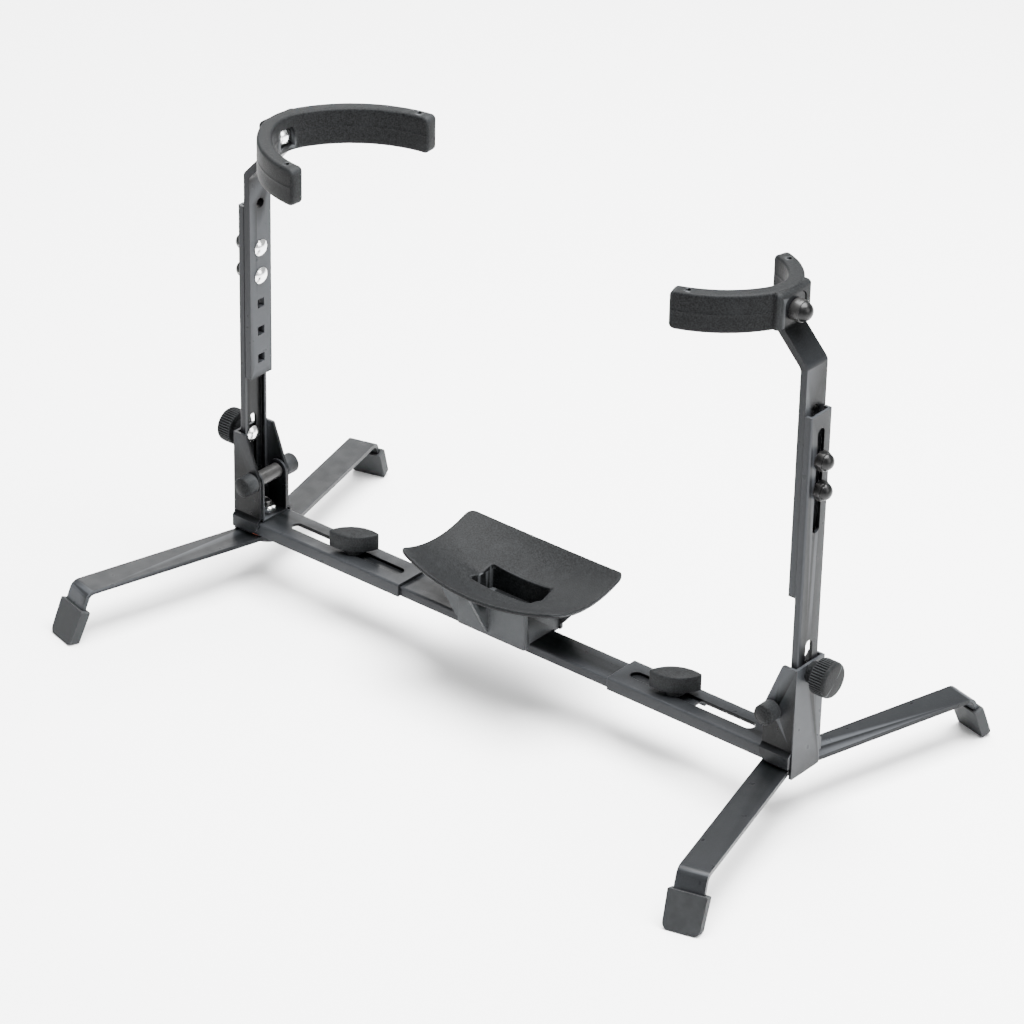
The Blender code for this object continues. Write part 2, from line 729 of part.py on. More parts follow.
def foot(name, axis, angle, finish):
    """Rubber cap on the toe, a little wider at its top, with a pocket for the strip."""
    lean = math.radians(FOOT_LEAN)
    half = FOOT_THICKNESS / 2.0
    bottom = FOOT_BOTTOM_WIDTH / 2.0
    top = FOOT_TOP_WIDTH / 2.0
    under = -half * math.tan(lean) - 0.2 * MM
    face = fillet(
        [(-bottom, under), (bottom, under), (top, FOOT_LENGTH), (-top, FOOT_LENGTH)],
        [5.0 * MM, 5.0 * MM, 1.0 * MM, 1.0 * MM],
        6,
    )
    cap = prism(name, face, "X", -half, half, finish["rubber"])
    pocket_half = LEG_THICKNESS / 2.0 + GAP
    pocket_low = TOE_Z / math.cos(lean) - pocket_half * math.tan(lean) - GAP
    side = LEG_WIDTH / 2.0 + GAP
    pocket = box("pocket", (-pocket_half, -side, pocket_low), (pocket_half, side, 2.0 * FOOT_LENGTH))
    cut(cap, pocket)
    middle_out = FOOT_REACH - half / math.cos(lean)
    cap.data.transform(Matrix.Translation((middle_out, 0.0, 0.0)) @ Matrix.Rotation(-lean, 4, "Y"))
    cut(cap, box("floor", (0.0, -FOOT_REACH, -FOOT_REACH), (2.0 * FOOT_REACH, FOOT_REACH, 0.0)))
    cap.data.transform(Matrix.Rotation(math.radians(angle), 4, "Z"))
    cap.parent = axis
    return cap


def post(name, axis, finish):
    """Channel post with one slot for the clamp and one for the bar's bolts."""
    outer = WEB_FACE_X - SHEET - GAP
    section = [(outer + z, y) for y, z in channel(POST_WIDTH, POST_DEPTH, 1.4 * MM)]
    body = prism(name, section, "Z", *POST_Z, finish["steel"])
    for low, high in (POST_LOWER_SLOT_Z, POST_UPPER_SLOT_Z):
        outline = [(y, z) for z, y in slot_outline(low, high, POST_SLOT_WIDTH)]
        cut(body, prism("slot", outline, "X", outer - 3 * MM, outer + 1 * MM))
    return ride(body, axis)


def post_knob(name, axis, finish):
    """Knurled clamp knob on the bracket's outer face."""
    ribs = 16
    count = ribs * 2
    bore = BOLT_RADIUS + GAP

    def ribbed(radius, height, depth):
        ring = circle(radius, height, count)
        for i in range(0, count, 2):
            ring[i] = Vector((ring[i].x * (1 - depth), ring[i].y * (1 - depth), height))
        return ring

    rings = [
        circle(bore, 9.0 * MM, count),
        circle(bore, 0.0, count),
        circle(7.2 * MM, 0.0, count),
        circle(7.2 * MM, 6.0 * MM, count),
        ribbed(11.5 * MM, 6.4 * MM, 0.05),
        ribbed(12.1 * MM, 7.4 * MM, 0.05),
        ribbed(12.1 * MM, 15.6 * MM, 0.05),
        circle(11.0 * MM, 17.0 * MM, count),
        circle(8.4 * MM, 17.9 * MM, count),
        circle(4.0 * MM, 18.4 * MM, count),
    ]
    knob = loft(name, rings, (1, 0, 0), (WEB_FACE_X + GAP, 0, CLAMP_Z), finish["plastic"])
    return ride(knob, axis)


def clamp_bolt(name, axis, finish):
    """Carriage bolt from inside the post to the knurled knob."""
    inner = WEB_FACE_X - 2.0 * SHEET - 2.0 * GAP
    bolt = carriage_bolt(name, (1, 0, 0), (inner, 0, CLAMP_Z), 12.5 * MM, finish["zinc"])
    return ride(bolt, axis)


def bar_profile(drop):
    """Side view of the upper bar with its double bend: X and Z."""
    outer = WEB_FACE_X - SHEET - GAP - POST_DEPTH - GAP
    inner = outer - BAR_THICKNESS
    jog_low = BAR_JOG_Z - drop
    jog_high = jog_low + BAR_JOG_RISE
    top = CRADLE_BOLT_Z - drop + BAR_TOP_OVER_BOLT
    lift = BAR_THICKNESS * math.tan(math.atan2(BAR_JOG, BAR_JOG_RISE) / 2.0)
    points = [
        (inner, BAR_BOTTOM_Z),
        (outer, BAR_BOTTOM_Z),
        (outer, jog_low + lift),
        (outer - BAR_JOG, jog_high + lift),
        (outer - BAR_JOG, top),
        (inner - BAR_JOG, top),
        (inner - BAR_JOG, jog_high),
        (inner, jog_low),
    ]
    return fillet(points, [0.0, 0.0, BAR_BEND, BAR_BEND, 0.0, 0.0, BAR_BEND, BAR_BEND], 4)


def upper_bar(name, side, axis, finish):
    """Flat bar with square adjusting holes, a jog and a rounded top."""
    half = BAR_WIDTH / 2.0
    drop = TOP_DROP[side]
    bar = prism(name, bar_profile(drop), "Y", -half, half, finish["steel"])
    top = CRADLE_BOLT_Z - drop + BAR_TOP_OVER_BOLT
    low = BAR_BOTTOM_Z
    face = fillet([(-half, low), (half, low), (half, top), (-half, top)], [0.0, 0.0, BAR_BEND, BAR_BEND], 5)
    combine(bar, "INTERSECT", [prism("front_view", face, "X", 150 * MM, 250 * MM)])
    low_x = 200 * MM
    for index in range(HOLE_COUNT):
        z = FIRST_HOLE_Z + index * HOLE_PITCH
        corner = SQUARE_HALF
        cut(bar, box("square", (low_x, -corner, z - corner), (240 * MM, corner, z + corner)))
    cut(
        bar,
        rod("round", HOLE_RADIUS, (1, 0, 0), (low_x, 0, TOP_HOLE_Z), 40 * MM),
        rod("cradle_hole", HOLE_RADIUS, (1, 0, 0), (190 * MM, 0, CRADLE_BOLT_Z - drop), 30 * MM),
    )
    return ride(bar, axis)


def bar_bolt(name, axis, index, finish):
    """Carriage bolt through the bar and the post's slot."""
    face = WEB_FACE_X - SHEET - 2.0 * GAP - POST_DEPTH - BAR_THICKNESS
    z = FIRST_HOLE_Z + index * HOLE_PITCH
    bolt = carriage_bolt(name, (1, 0, 0), (face - GAP, 0, z), 16.5 * MM, finish["zinc"], square=4.0 * MM)
    return ride(bolt, axis)


def bar_nut(name, axis, index, finish):
    """Cap nut on the post's outer face."""
    z = FIRST_HOLE_Z + index * HOLE_PITCH
    return ride(cap_nut(name, (1, 0, 0), (WEB_FACE_X - SHEET, 0, z), finish["black"]), axis)


def arm_point(side, toward, distance):
    """Middle line of one arm: its point and its outward normal, a given distance along it."""
    (near_radius, near_angle), (far_radius, far_angle) = (LONG_ARM if toward < 0 else SHORT_ARM)[side]
    near_length = near_radius * math.radians(near_angle)
    x = CRADLE_BACK_X[side] - near_radius
    if distance <= near_length:
        angle = distance / near_radius
        radius = near_radius
        y = 0.0
    else:
        turn = math.radians(near_angle)
        angle = turn + (distance - near_length) / far_radius
        radius = far_radius
        x += (near_radius - far_radius) * math.cos(turn)
        y = (near_radius - far_radius) * math.sin(turn)
    normal = Vector((math.cos(angle), toward * math.sin(angle)))
    return Vector((x, toward * y)) + normal * radius, normal


def arm_length(side, toward):
    """Length of one arm's middle line."""
    (near_radius, near_angle), (far_radius, far_angle) = (LONG_ARM if toward < 0 else SHORT_ARM)[side]
    return near_radius * math.radians(near_angle) + far_radius * math.radians(far_angle - near_angle)


def cradle_outline(side):
    """Plan of the C: both arms, with rounded corners at their ends."""
    steps = 14
    half = CRADLE_BAND / 2.0
    stations = []
    for toward in (-1.0, 1.0):
        length = arm_length(side, toward)
        arm = [arm_point(side, toward, length * step / steps) for step in range(steps + 1)]
        stations += list(reversed(arm)) if toward < 0 else arm[1:]
    outer = [point + normal * half for point, normal in stations]
    inner = [point - normal * half for point, normal in reversed(stations)]
    radii = [ARM_END_FILLET] + [0.0] * (len(outer) - 2) + [ARM_END_FILLET]
    return fillet(outer + inner, radii * 2, 3)


def cradle_tools(side, bar_outer, bolt_z):
    """Cutters for the bar's recess, the bolt and the arms' tip holes."""
    low, high = (z - TOP_DROP[side] for z in CRADLE_Z)
    recess_half = BAR_WIDTH / 2.0 + GAP
    recess_top = bolt_z + BAR_TOP_OVER_BOLT + RECESS_OVER_BAR
    inner = CRADLE_BACK_X[side] - CRADLE_BAND / 2.0
    tools = [
        box("recess", (bar_outer - BAR_THICKNESS - GAP, -recess_half, low - 5 * MM), (230 * MM, recess_half, recess_top)),
        rod("hole", HOLE_RADIUS, (1, 0, 0), (150 * MM, 0, bolt_z), 80 * MM),
        box("window", (inner - 9 * MM, -WINDOW_HALF, bolt_z - WINDOW_HALF),
            (inner + WINDOW_DEPTH, WINDOW_HALF, bolt_z + WINDOW_HALF)),
    ]
    for toward in (-1.0, 1.0):
        spot = arm_point(side, toward, arm_length(side, toward) - TIP_HOLE_INSET)[0]
        base = (spot.x, spot.y, high - TIP_HOLE_DEPTH)
        tools.append(rod("tip_hole", TIP_HOLE_RADIUS, (0, 0, 1), base, 2.0 * TIP_HOLE_DEPTH, count=ROUND))
    return tools


def cradle(name, side, axis, finish):
    """C-shaped band with a boss whose recess takes the bar's end."""
    low, high = (z - TOP_DROP[side] for z in CRADLE_Z)
    band = prism(name, cradle_outline(side), "Z", low, high, finish["plastic"], smooth=True)
    bar_outer = WEB_FACE_X - SHEET - 2.0 * GAP - POST_DEPTH - BAR_JOG
    start = CRADLE_BACK_X[side] - 3.0 * MM
    end = bar_outer + 0.6 * MM
    boss = fillet(
        [(start, -BOSS_HALF), (end, -BOSS_HALF), (end, BOSS_HALF), (start, BOSS_HALF)],
        [0.0, 2.0 * MM, 2.0 * MM, 0.0],
    )
    join(band, prism("boss", boss, "Z", low + BOSS_LIFT, high - BOSS_LIFT))
    cut(band, *cradle_tools(side, bar_outer, CRADLE_BOLT_Z - TOP_DROP[side]))
    band.data.materials.clear()
    band.data.materials.append(finish["plastic"])
    return ride(band, axis)


def cradle_bolt(name, side, axis, finish):
    """Bolt from inside the cradle through the bar."""
    face = CRADLE_BACK_X[side] - CRADLE_BAND / 2.0 + WINDOW_DEPTH - GAP
    end = WEB_FACE_X - SHEET - 2.0 * GAP - POST_DEPTH - BAR_JOG + 6.0 * MM
    bolt_z = CRADLE_BOLT_Z - TOP_DROP[side]
    return ride(carriage_bolt(name, (1, 0, 0), (face, 0, bolt_z), end - face, finish["zinc"]), axis)


def cradle_nut(name, side, axis, finish):
    """Large capped nut on the bar's outer face at the cradle."""
    face = WEB_FACE_X - SHEET - GAP - POST_DEPTH - BAR_JOG
    bore = BOLT_RADIUS + GAP
    rings = [
        circle(bore, 6.8 * MM),
        circle(bore, 0.0),
        circle(7.0 * MM, 0.0),
        circle(7.0 * MM, 6.5 * MM),
        *dome(6.4 * MM, 5.0 * MM, 7.0 * MM),
    ]
    nut = loft(name, rings, (1, 0, 0), (face, 0, CRADLE_BOLT_Z - TOP_DROP[side]), finish["black"])
    return ride(nut, axis)


def build_leg_pair(side, slide, finish):
    """Two legs, their feet and the bolt stack under one end of the rail."""
    out = LEG_SPLAY
    near = -1.0 if side == "right" else 1.0
    for label, toward, low in (("front", near, UPPER_LEG_Z), ("back", -near, LOWER_LEG_Z)):
        pivot = empty(f"leg_axis_{side}_{label}", (PIVOT_X, 0, 0), slide)
        angle = toward * (90.0 - out)
        leg(f"leg_{side}_{label}", pivot, low, angle, finish)
        foot(f"foot_{side}_{label}", pivot, angle, finish)
    rail_bottom = RAIL_TOP - RAIL_HEIGHT
    disc = washer(
        f"fibre_washer_{side}",
        HOLE_RADIUS,
        WASHER_RADIUS,
        (0, 0, 1),
        (PIVOT_X, 0, UPPER_LEG_Z + LEG_THICKNESS + GAP),
        rail_bottom - UPPER_LEG_Z - LEG_THICKNESS - 2.0 * GAP,
        finish["fibre"],
        FINE_ROUND,
    )
    ride(disc, slide)
    leg_bolt(f"leg_bolt_{side}", slide, finish)
    leg_nut(f"leg_nut_{side}", slide, finish)


def build_upright(side, slide, finish):
    """Folding bracket with the post, the bar and the cradle."""
    fold = empty(f"fold_axis_{side}", (PIVOT_X, 0, PIN_Z), slide)
    post_bracket(f"post_bracket_{side}", fold, finish)
    hinge_pin(f"hinge_pin_{side}", fold, finish)
    hinge_sleeve(f"hinge_sleeve_{side}", slide, finish)
    pin_cap(f"pin_cap_{side}_front", fold, -1.0 if side == "right" else 1.0, finish)
    pin_cap(f"pin_cap_{side}_back", fold, 1.0 if side == "right" else -1.0, finish)
    knob_axis = empty(f"post_knob_axis_{side}", (WEB_FACE_X - PIVOT_X, 0, CLAMP_Z - PIN_Z), fold)
    post_knob(f"post_knob_{side}", knob_axis, finish)
    clamp_bolt(f"clamp_bolt_{side}", fold, finish)
    height = empty(f"height_axis_{side}", (0, 0, 0), fold)
    pieces = [post(f"post_{side}", height, finish)]
    bar_height = empty(f"bar_axis_{side}", (0, 0, 0), height)
    pieces.append(upper_bar(f"upper_bar_{side}", side, bar_height, finish))
    for label, index in (("upper", HOLE_COUNT - 1), ("lower", HOLE_COUNT - 2)):
        pieces.append(bar_bolt(f"bar_bolt_{side}_{label}", bar_height, index, finish))
        pieces.append(bar_nut(f"bar_nut_{side}_{label}", bar_height, index, finish))
    pieces.append(cradle(f"cradle_{side}", side, bar_height, finish))
    pieces.append(cradle_bolt(f"cradle_bolt_{side}", side, bar_height, finish))
    pieces.append(cradle_nut(f"cradle_nut_{side}", side, bar_height, finish))
    for piece in pieces:
        piece.data.transform(Matrix.Translation((0, 0, RAISED[side])))


def build_side(side, finish):
    """Everything at one end of the stand."""
    turn = 0.0 if side == "right" else math.pi
    shift = BASE_SHIFT if side == "right" else -BASE_SHIFT
    home = empty(f"side_{side}", (0, 0, 0), turn=turn)
    slide = empty(f"rail_slide_{side}", (0, 0, 0), home)
    end_rail(f"end_rail_{side}", slide, finish)
    hinge_ears(f"hinge_ears_{side}", slide, finish)
    knob_axis = empty(f"rail_knob_axis_{side}", (KNOB_X + shift, 0, RAIL_TOP), home)
    rail_knob(f"rail_knob_{side}", knob_axis, finish)
    nut = rail_knob_nut(f"rail_knob_nut_{side}", home, finish)
    nut.data.transform(Matrix.Translation((shift, 0, 0)))
    build_leg_pair(side, slide, finish)
    build_upright(side, slide, finish)


def main():
    clear_scene()
    finish = make_materials()
    for piece in (centre_rail(finish), saddle(finish), saddle_screw(finish)):
        piece.data.transform(Matrix.Translation((BASE_SHIFT, 0, 0)))
    for side in ("left", "right"):
        build_side(side, finish)


main()
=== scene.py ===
import math

import bmesh
import bpy
from mathutils import Matrix, Vector


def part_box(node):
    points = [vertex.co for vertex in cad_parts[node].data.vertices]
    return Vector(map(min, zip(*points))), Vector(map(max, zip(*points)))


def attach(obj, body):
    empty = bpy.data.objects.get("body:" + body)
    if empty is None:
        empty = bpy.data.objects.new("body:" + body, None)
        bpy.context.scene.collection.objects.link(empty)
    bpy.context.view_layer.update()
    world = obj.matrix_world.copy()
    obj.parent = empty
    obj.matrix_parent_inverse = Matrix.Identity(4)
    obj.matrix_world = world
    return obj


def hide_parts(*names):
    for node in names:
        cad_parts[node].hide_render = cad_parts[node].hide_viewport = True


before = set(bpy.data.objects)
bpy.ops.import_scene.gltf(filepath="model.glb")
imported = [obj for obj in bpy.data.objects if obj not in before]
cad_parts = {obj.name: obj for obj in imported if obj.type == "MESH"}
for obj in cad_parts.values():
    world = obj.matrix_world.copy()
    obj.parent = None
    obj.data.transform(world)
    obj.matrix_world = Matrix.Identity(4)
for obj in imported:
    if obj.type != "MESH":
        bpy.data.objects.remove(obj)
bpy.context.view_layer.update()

MM = 0.001
SIDES = ("left", "right")

# Camera
CAMERA_AZIMUTH = 39.29
CAMERA_ELEVATION = 28.95
CAMERA_ROLL = 1.18
CAMERA_PLACE = (1.58919, -1.95681, 1.52963)
CAMERA_LENS = 160.2
CAMERA_SHIFT = (0.00841, -0.01308)
SENSOR_WIDTH = 36.0
CLIP = (0.05, 30.0)

# Lights: name, place, target, size and power
LIGHTS = (
    ("overhead", (0.2, 0.3, 2.2), (0.0, 0.0, 0.1), 1.8, 420.0),
    ("right", (2.0, 0.2, 1.1), (0.1, 0.0, 0.15), 1.2, 40.0),
    ("left_back", (-1.6, 1.2, 1.3), (0.0, 0.0, 0.15), 1.0, 30.0),
)
SURROUND_STRENGTH = 0.8
FLOOR_SIZE = 24.0
FLOOR_DROP = 0.4 * MM

# Smoothing
SHEET_EDGE = 0.35 * MM
FOOT_EDGE = 0.9 * MM
CRADLE_SOFT_EDGE = 0.3 * MM
SHARP_ANGLE = math.radians(40.0)
SMOOTH_ANGLE = math.radians(38.0)
WELD = 0.001 * MM
FLAT_ANGLE = math.radians(0.3)
FLAT_WEIGHT = 80

# Bolts, nuts and holes
SHANK_RADIUS = 3.0 * MM
HOLE_RADIUS = 3.4 * MM
NUT_BORE = 3.3 * MM
SHEET = 2.0 * MM

# Saddle
DISH_HALF = (64.3 * MM, 34.9 * MM)
DISH_BULGE = 9.5 * MM
DISH_BOTTOM_Z = 69.5 * MM
DISH_RISE = (12.2 * MM, 7.8 * MM)
DISH_THICKNESS = 3.2 * MM
DISH_CORNER = 7.0 * MM
DISH_LIP = 1.1 * MM
GROOVE_DEPTH = 1.9 * MM
GROOVE_HALF_WIDTH = 5.0 * MM
GROOVE_REACH = 24.0 * MM
WELL_HALF = (25.0 * MM, 11.8 * MM)
WELL_CORNER = 2.0 * MM
WELL_FLOOR_Z = 55.0 * MM
BLOCK_HALF = (28.0 * MM, 20.0 * MM)
BLOCK_BOTTOM_Z = 41.2 * MM
BLOCK_WALL = 3.2 * MM
BLOCK_CORNER = 1.2 * MM
POCKET_DEPTH = 1.6 * MM
POCKET_Z = (38.0 * MM, 66.0 * MM)
GUSSET_FOOT_Z = 46.0 * MM
GUSSET_REACH = 56.0 * MM
GUSSET_TOP_Y = 18.0 * MM
RIB_FOOT_Z = 44.0 * MM
RIB_REACH = 40.0 * MM
RIB_X = (-4.4 * MM, -2.0 * MM)

# Cradles. An arm is two arcs in a row, each a radius and the angle in degrees that it reaches.
CRADLE_BAND = 10.0 * MM
CRADLE_BACK_X = {"left": 200.6 * MM, "right": 200.4 * MM}
LONG_ARM = {
    "left": ((36.4 * MM, 26.4), (84.4 * MM, 85.4)),
    "right": ((30.7 * MM, 31.2), (77.2 * MM, 73.0)),
}
SHORT_ARM = {
    "left": ((36.4 * MM, 26.4), (66.5 * MM, 88.9)),
    "right": ((23.1 * MM, 33.9), (41.7 * MM, 77.0)),
}
CRADLE_CORNER = 3.4 * MM
CRADLE_EDGE = 2.0 * MM
BOSS_HALF = 16.0 * MM
BOSS_INSET = 0.5 * MM
MOULD_LINE = 0.12 * MM
RECESS_DEPTH = 5.9 * MM
RECESS_GAP = 0.3 * MM
RECESS_CORNER = 5.0 * MM
WINDOW_HALF = 6.6 * MM
WINDOW_DEPTH = 3.2 * MM
TIP_HOLE_RADIUS = 1.7 * MM
TIP_HOLE_INSET = 10.0 * MM

# Knobs
WING_HALF = (17.0 * MM, 7.4 * MM)
WING_TIP = 1.3 * MM
WING_TURN = math.radians(32.0)
WING_HEIGHT = 12.5 * MM
KNURLS = 42
KNURL_DEPTH = 0.8 * MM


# ---------------------------------------------------------------- materials

def new_material(name, colour, roughness, metallic=0.0, specular=0.5):
    """A Principled material; returns the material, its node tree and its shader."""
    made = bpy.data.materials.new(name)
    made.use_nodes = True
    shader = made.node_tree.nodes["Principled BSDF"]
    shader.inputs["Base Color"].default_value = (*colour, 1.0)
    shader.inputs["Roughness"].default_value = roughness
    shader.inputs["Metallic"].default_value = metallic
    shader.inputs["Specular IOR Level"].default_value = specular
    return made, made.node_tree, shader


def noise(tree, scale, detail=3.0, stretch=(1.0, 1.0, 1.0)):
    """Noise in the piece's own coordinates, with features about 1/scale metres wide."""
    where = tree.nodes.new("ShaderNodeTexCoord")
    mapping = tree.nodes.new("ShaderNodeMapping")
    mapping.inputs["Scale"].default_value = stretch
    tree.links.new(where.outputs["Object"], mapping.inputs["Vector"])
    texture = tree.nodes.new("ShaderNodeTexNoise")
    texture.inputs["Scale"].default_value = scale
    texture.inputs["Detail"].default_value = detail
    tree.links.new(mapping.outputs["Vector"], texture.inputs["Vector"])
    return texture.outputs["Fac"]


def cells(tree, scale):
    """Rounded pits or grains about 1/scale metres wide."""
    where = tree.nodes.new("ShaderNodeTexCoord")
    texture = tree.nodes.new("ShaderNodeTexVoronoi")
    texture.feature = "SMOOTH_F1"
    texture.inputs["Scale"].default_value = scale
    tree.links.new(where.outputs["Object"], texture.inputs["Vector"])
    return texture.outputs["Distance"]


def remap(tree, value, low, high, to_low, to_high):
    """A value moved from one range to another."""
    node = tree.nodes.new("ShaderNodeMapRange")
    node.inputs["From Min"].default_value = low
    node.inputs["From Max"].default_value = high
    node.inputs["To Min"].default_value = to_low
    node.inputs["To Max"].default_value = to_high
    tree.links.new(value, node.inputs["Value"])
    return node.outputs["Result"]


def mix(tree, factor, one, two):
    """Colour mixed by a factor."""
    node = tree.nodes.new("ShaderNodeMix")
    node.data_type = "RGBA"
    tree.links.new(factor, node.inputs["Factor"])
    for socket, colour in ((node.inputs[6], one), (node.inputs[7], two)):
        if isinstance(colour, tuple):
            socket.default_value = (*colour, 1.0)
        else:
            tree.links.new(colour, socket)
    return node.outputs[2]


def blend(tree, value, low, high, dark, pale):
    """Two colours, from one to the other as a value runs from low to high."""
    return mix(tree, remap(tree, value, low, high, 0.0, 1.0), dark, pale)


def vary_roughness(tree, shader, value, smooth, rough):
    """Roughness that follows a noise."""
    tree.links.new(remap(tree, value, 0.3, 0.7, smooth, rough), shader.inputs["Roughness"])


def edge_wear_and_highlight(tree, low, high):
    """1 along convex edges and 0 on flat faces: the mask for paler edges that stand for wear and
    for painted highlight.
    """
    geometry = tree.nodes.new("ShaderNodeNewGeometry")
    return remap(tree, geometry.outputs["Pointiness"], low, high, 0.0, 1.0)


def bump(tree, shader, layers):
    """Stack bumps, each a height, a distance in metres and a strength."""
    normal = None
    for height, distance, strength in layers:
        node = tree.nodes.new("ShaderNodeBump")
        node.inputs["Distance"].default_value = distance
        node.inputs["Strength"].default_value = strength
        tree.links.new(height, node.inputs["Height"])
        if normal:
            tree.links.new(normal, node.inputs["Normal"])
        normal = node.outputs["Normal"]
    tree.links.new(normal, shader.inputs["Normal"])


def coated_steel():
    """Dark semi-gloss powder coat with a fine orange peel; its edges are painted paler, partly
    for thinner coat and partly as painted highlight.
    """
    made, tree, shader = new_material("coated_steel", (0.0015, 0.0016, 0.0018), 0.32, 0.0, 0.065)
    patches = noise(tree, 45.0, 4.0)
    body = blend(tree, patches, 0.3, 0.7, (0.0006, 0.0007, 0.0008), (0.0016, 0.0018, 0.0020))
    speck = remap(tree, noise(tree, 1300.0, 3.0), 0.50, 0.70, 0.0, 0.6)
    speckled = mix(tree, speck, body, (0.0062, 0.0068, 0.0074))
    # Paler convex edges: coat wear together with painted highlight where the edges catch the
    # light.
    edged = mix(tree, edge_wear_and_highlight(tree, 0.53, 0.60), speckled, (0.030, 0.032, 0.035))
    tree.links.new(edged, shader.inputs["Base Color"])
    vary_roughness(tree, shader, noise(tree, 120.0, 5.0), 0.27, 0.38)
    peel, speckle = noise(tree, 700.0, 2.0), noise(tree, 2600.0, 2.0)
    bump(tree, shader, [(peel, 0.00005, 0.35), (speckle, 0.00003, 0.5)])
    return made


def textured_plastic():
    """Dark grey moulding with a spark-eroded grain and a few paler rubbed patches."""
    made, tree, shader = new_material("textured_plastic", (0.006, 0.0065, 0.007), 0.58, 0.0, 0.07)
    grain = noise(tree, 1050.0, 4.0)
    body = blend(tree, grain, 0.35, 0.65, (0.0006, 0.0007, 0.0008), (0.0085, 0.0092, 0.0098))
    rubbed = remap(tree, noise(tree, 60.0, 6.0), 0.55, 0.8, 0.0, 0.35)
    patched = mix(tree, rubbed, body, (0.013, 0.0139, 0.0148))
    # Paler convex edges: rubbing wear together with painted highlight where the edges catch the
    # light.
    edged = mix(tree, edge_wear_and_highlight(tree, 0.52, 0.62), patched, (0.036, 0.038, 0.040))
    tree.links.new(edged, shader.inputs["Base Color"])
    vary_roughness(tree, shader, grain, 0.50, 0.66)
    bump(tree, shader, [(grain, 0.00022, 0.75), (cells(tree, 1500.0), 0.00008, 0.5)])
    return made


def zinc_plate():
    """Bright zinc with faint cloudy passivation."""
    made, tree, shader = new_material("zinc_plate", (0.75, 0.76, 0.77), 0.2, 1.0)
    clouds = noise(tree, 400.0, 4.0)
    tint = blend(tree, clouds, 0.35, 0.65, (0.70, 0.72, 0.74), (0.83, 0.83, 0.81))
    tree.links.new(tint, shader.inputs["Base Color"])
    vary_roughness(tree, shader, clouds, 0.14, 0.26)
    bump(tree, shader, [(noise(tree, 1500.0, 3.0), 0.00002, 0.25)])
    return made


def red_fibre():
    """Vulcanised fibre, mottled and matt."""
    made, tree, shader = new_material("red_fibre", (0.5, 0.12, 0.08), 0.7)
    mottle = noise(tree, 900.0, 6.0, (1.0, 1.0, 4.0))
    tint = blend(tree, mottle, 0.35, 0.65, (0.20, 0.035, 0.022), (0.36, 0.10, 0.065))
    tree.links.new(tint, shader.inputs["Base Color"])
    vary_roughness(tree, shader, mottle, 0.6, 0.8)
    bump(tree, shader, [(mottle, 0.00006, 0.5)])
    return made


def foot_rubber():
    """Smooth dark grey rubber with a dusty bloom."""
    made, tree, shader = new_material("foot_rubber", (0.015, 0.016, 0.017), 0.72, 0.0, 0.12)
    bloom = noise(tree, 160.0, 6.0)
    tint = blend(tree, bloom, 0.35, 0.7, (0.008, 0.0086, 0.0092), (0.0145, 0.0155, 0.0165))
    # Paler convex edges: wear together with painted highlight where the rounded edges catch the
    # light.
    edged = mix(tree, edge_wear_and_highlight(tree, 0.52, 0.60), tint, (0.036, 0.038, 0.040))
    tree.links.new(edged, shader.inputs["Base Color"])
    vary_roughness(tree, shader, bloom, 0.62, 0.8)
    skin_grain, waves = noise(tree, 1300.0, 4.0), noise(tree, 220.0, 2.0)
    bump(tree, shader, [(skin_grain, 0.00006, 0.4), (waves, 0.0002, 0.12)])
    return made


def black_fasteners():
    """Black-plated steel, glossier than the coat; its edges are painted paler and brownish,
    partly for thin plating and partly as painted highlight.
    """
    made, tree, shader = new_material("black_fasteners", (0.004, 0.004, 0.0043), 0.32, 0.0, 0.16)
    patches = noise(tree, 500.0, 4.0)
    tint = blend(tree, patches, 0.4, 0.7, (0.0018, 0.0019, 0.0020), (0.0045, 0.0045, 0.0046))
    # Paler convex edges: thin plating together with painted highlight where the edges catch the
    # light.
    edged = mix(tree, edge_wear_and_highlight(tree, 0.52, 0.62), tint, (0.03, 0.0295, 0.029))
    tree.links.new(edged, shader.inputs["Base Color"])
    vary_roughness(tree, shader, patches, 0.27, 0.38)
    bump(tree, shader, [(noise(tree, 1800.0, 3.0), 0.00001, 0.15)])
    return made


FINISHES = {
    "coated_steel": coated_steel(),
    "textured_plastic": textured_plastic(),
    "zinc_plate": zinc_plate(),
    "red_fibre": red_fibre(),
    "foot_rubber": foot_rubber(),
    "black_fasteners": black_fasteners(),
}


# ------------------------------------------------------------ shape helpers

def to_piece(name, bm):
    """A bmesh as a linked object with outward faces, smooth apart from its sharp edges."""
    bmesh.ops.recalc_face_normals(bm, faces=bm.faces)
    mesh = bpy.data.meshes.new(name)
    bm.to_mesh(mesh)
    bm.free()
    mesh.shade_smooth()
    mesh.set_sharp_from_angle(angle=SMOOTH_ANGLE)
    piece = bpy.data.objects.new(name, mesh)
    bpy.context.scene.collection.objects.link(piece)
    return piece


def boolean(piece, operation, *tools):
    """Boolean the tools into the piece and drop them."""
    for tool in tools:
        step = piece.modifiers.new("step", "BOOLEAN")
        step.operation = operation
        step.object = tool
        step.solver = "EXACT"
        graph = bpy.context.evaluated_depsgraph_get()
        result = bpy.data.meshes.new_from_object(piece.evaluated_get(graph))
        piece.modifiers.clear()
        piece.data = result
        bpy.data.objects.remove(tool)
    piece.data.shade_smooth()
    piece.data.set_sharp_from_angle(angle=SMOOTH_ANGLE)
    return piece


def soften(piece, width, segments=2, angle=SHARP_ANGLE):
    """Round the sharp edges with a bevel that stays on the piece."""
    step = piece.modifiers.new("soft_edges", "BEVEL")
    step.width = width
    step.segments = segments
    step.limit_method = "ANGLE"
    step.angle_limit = angle
    step.harden_normals = True
    return piece


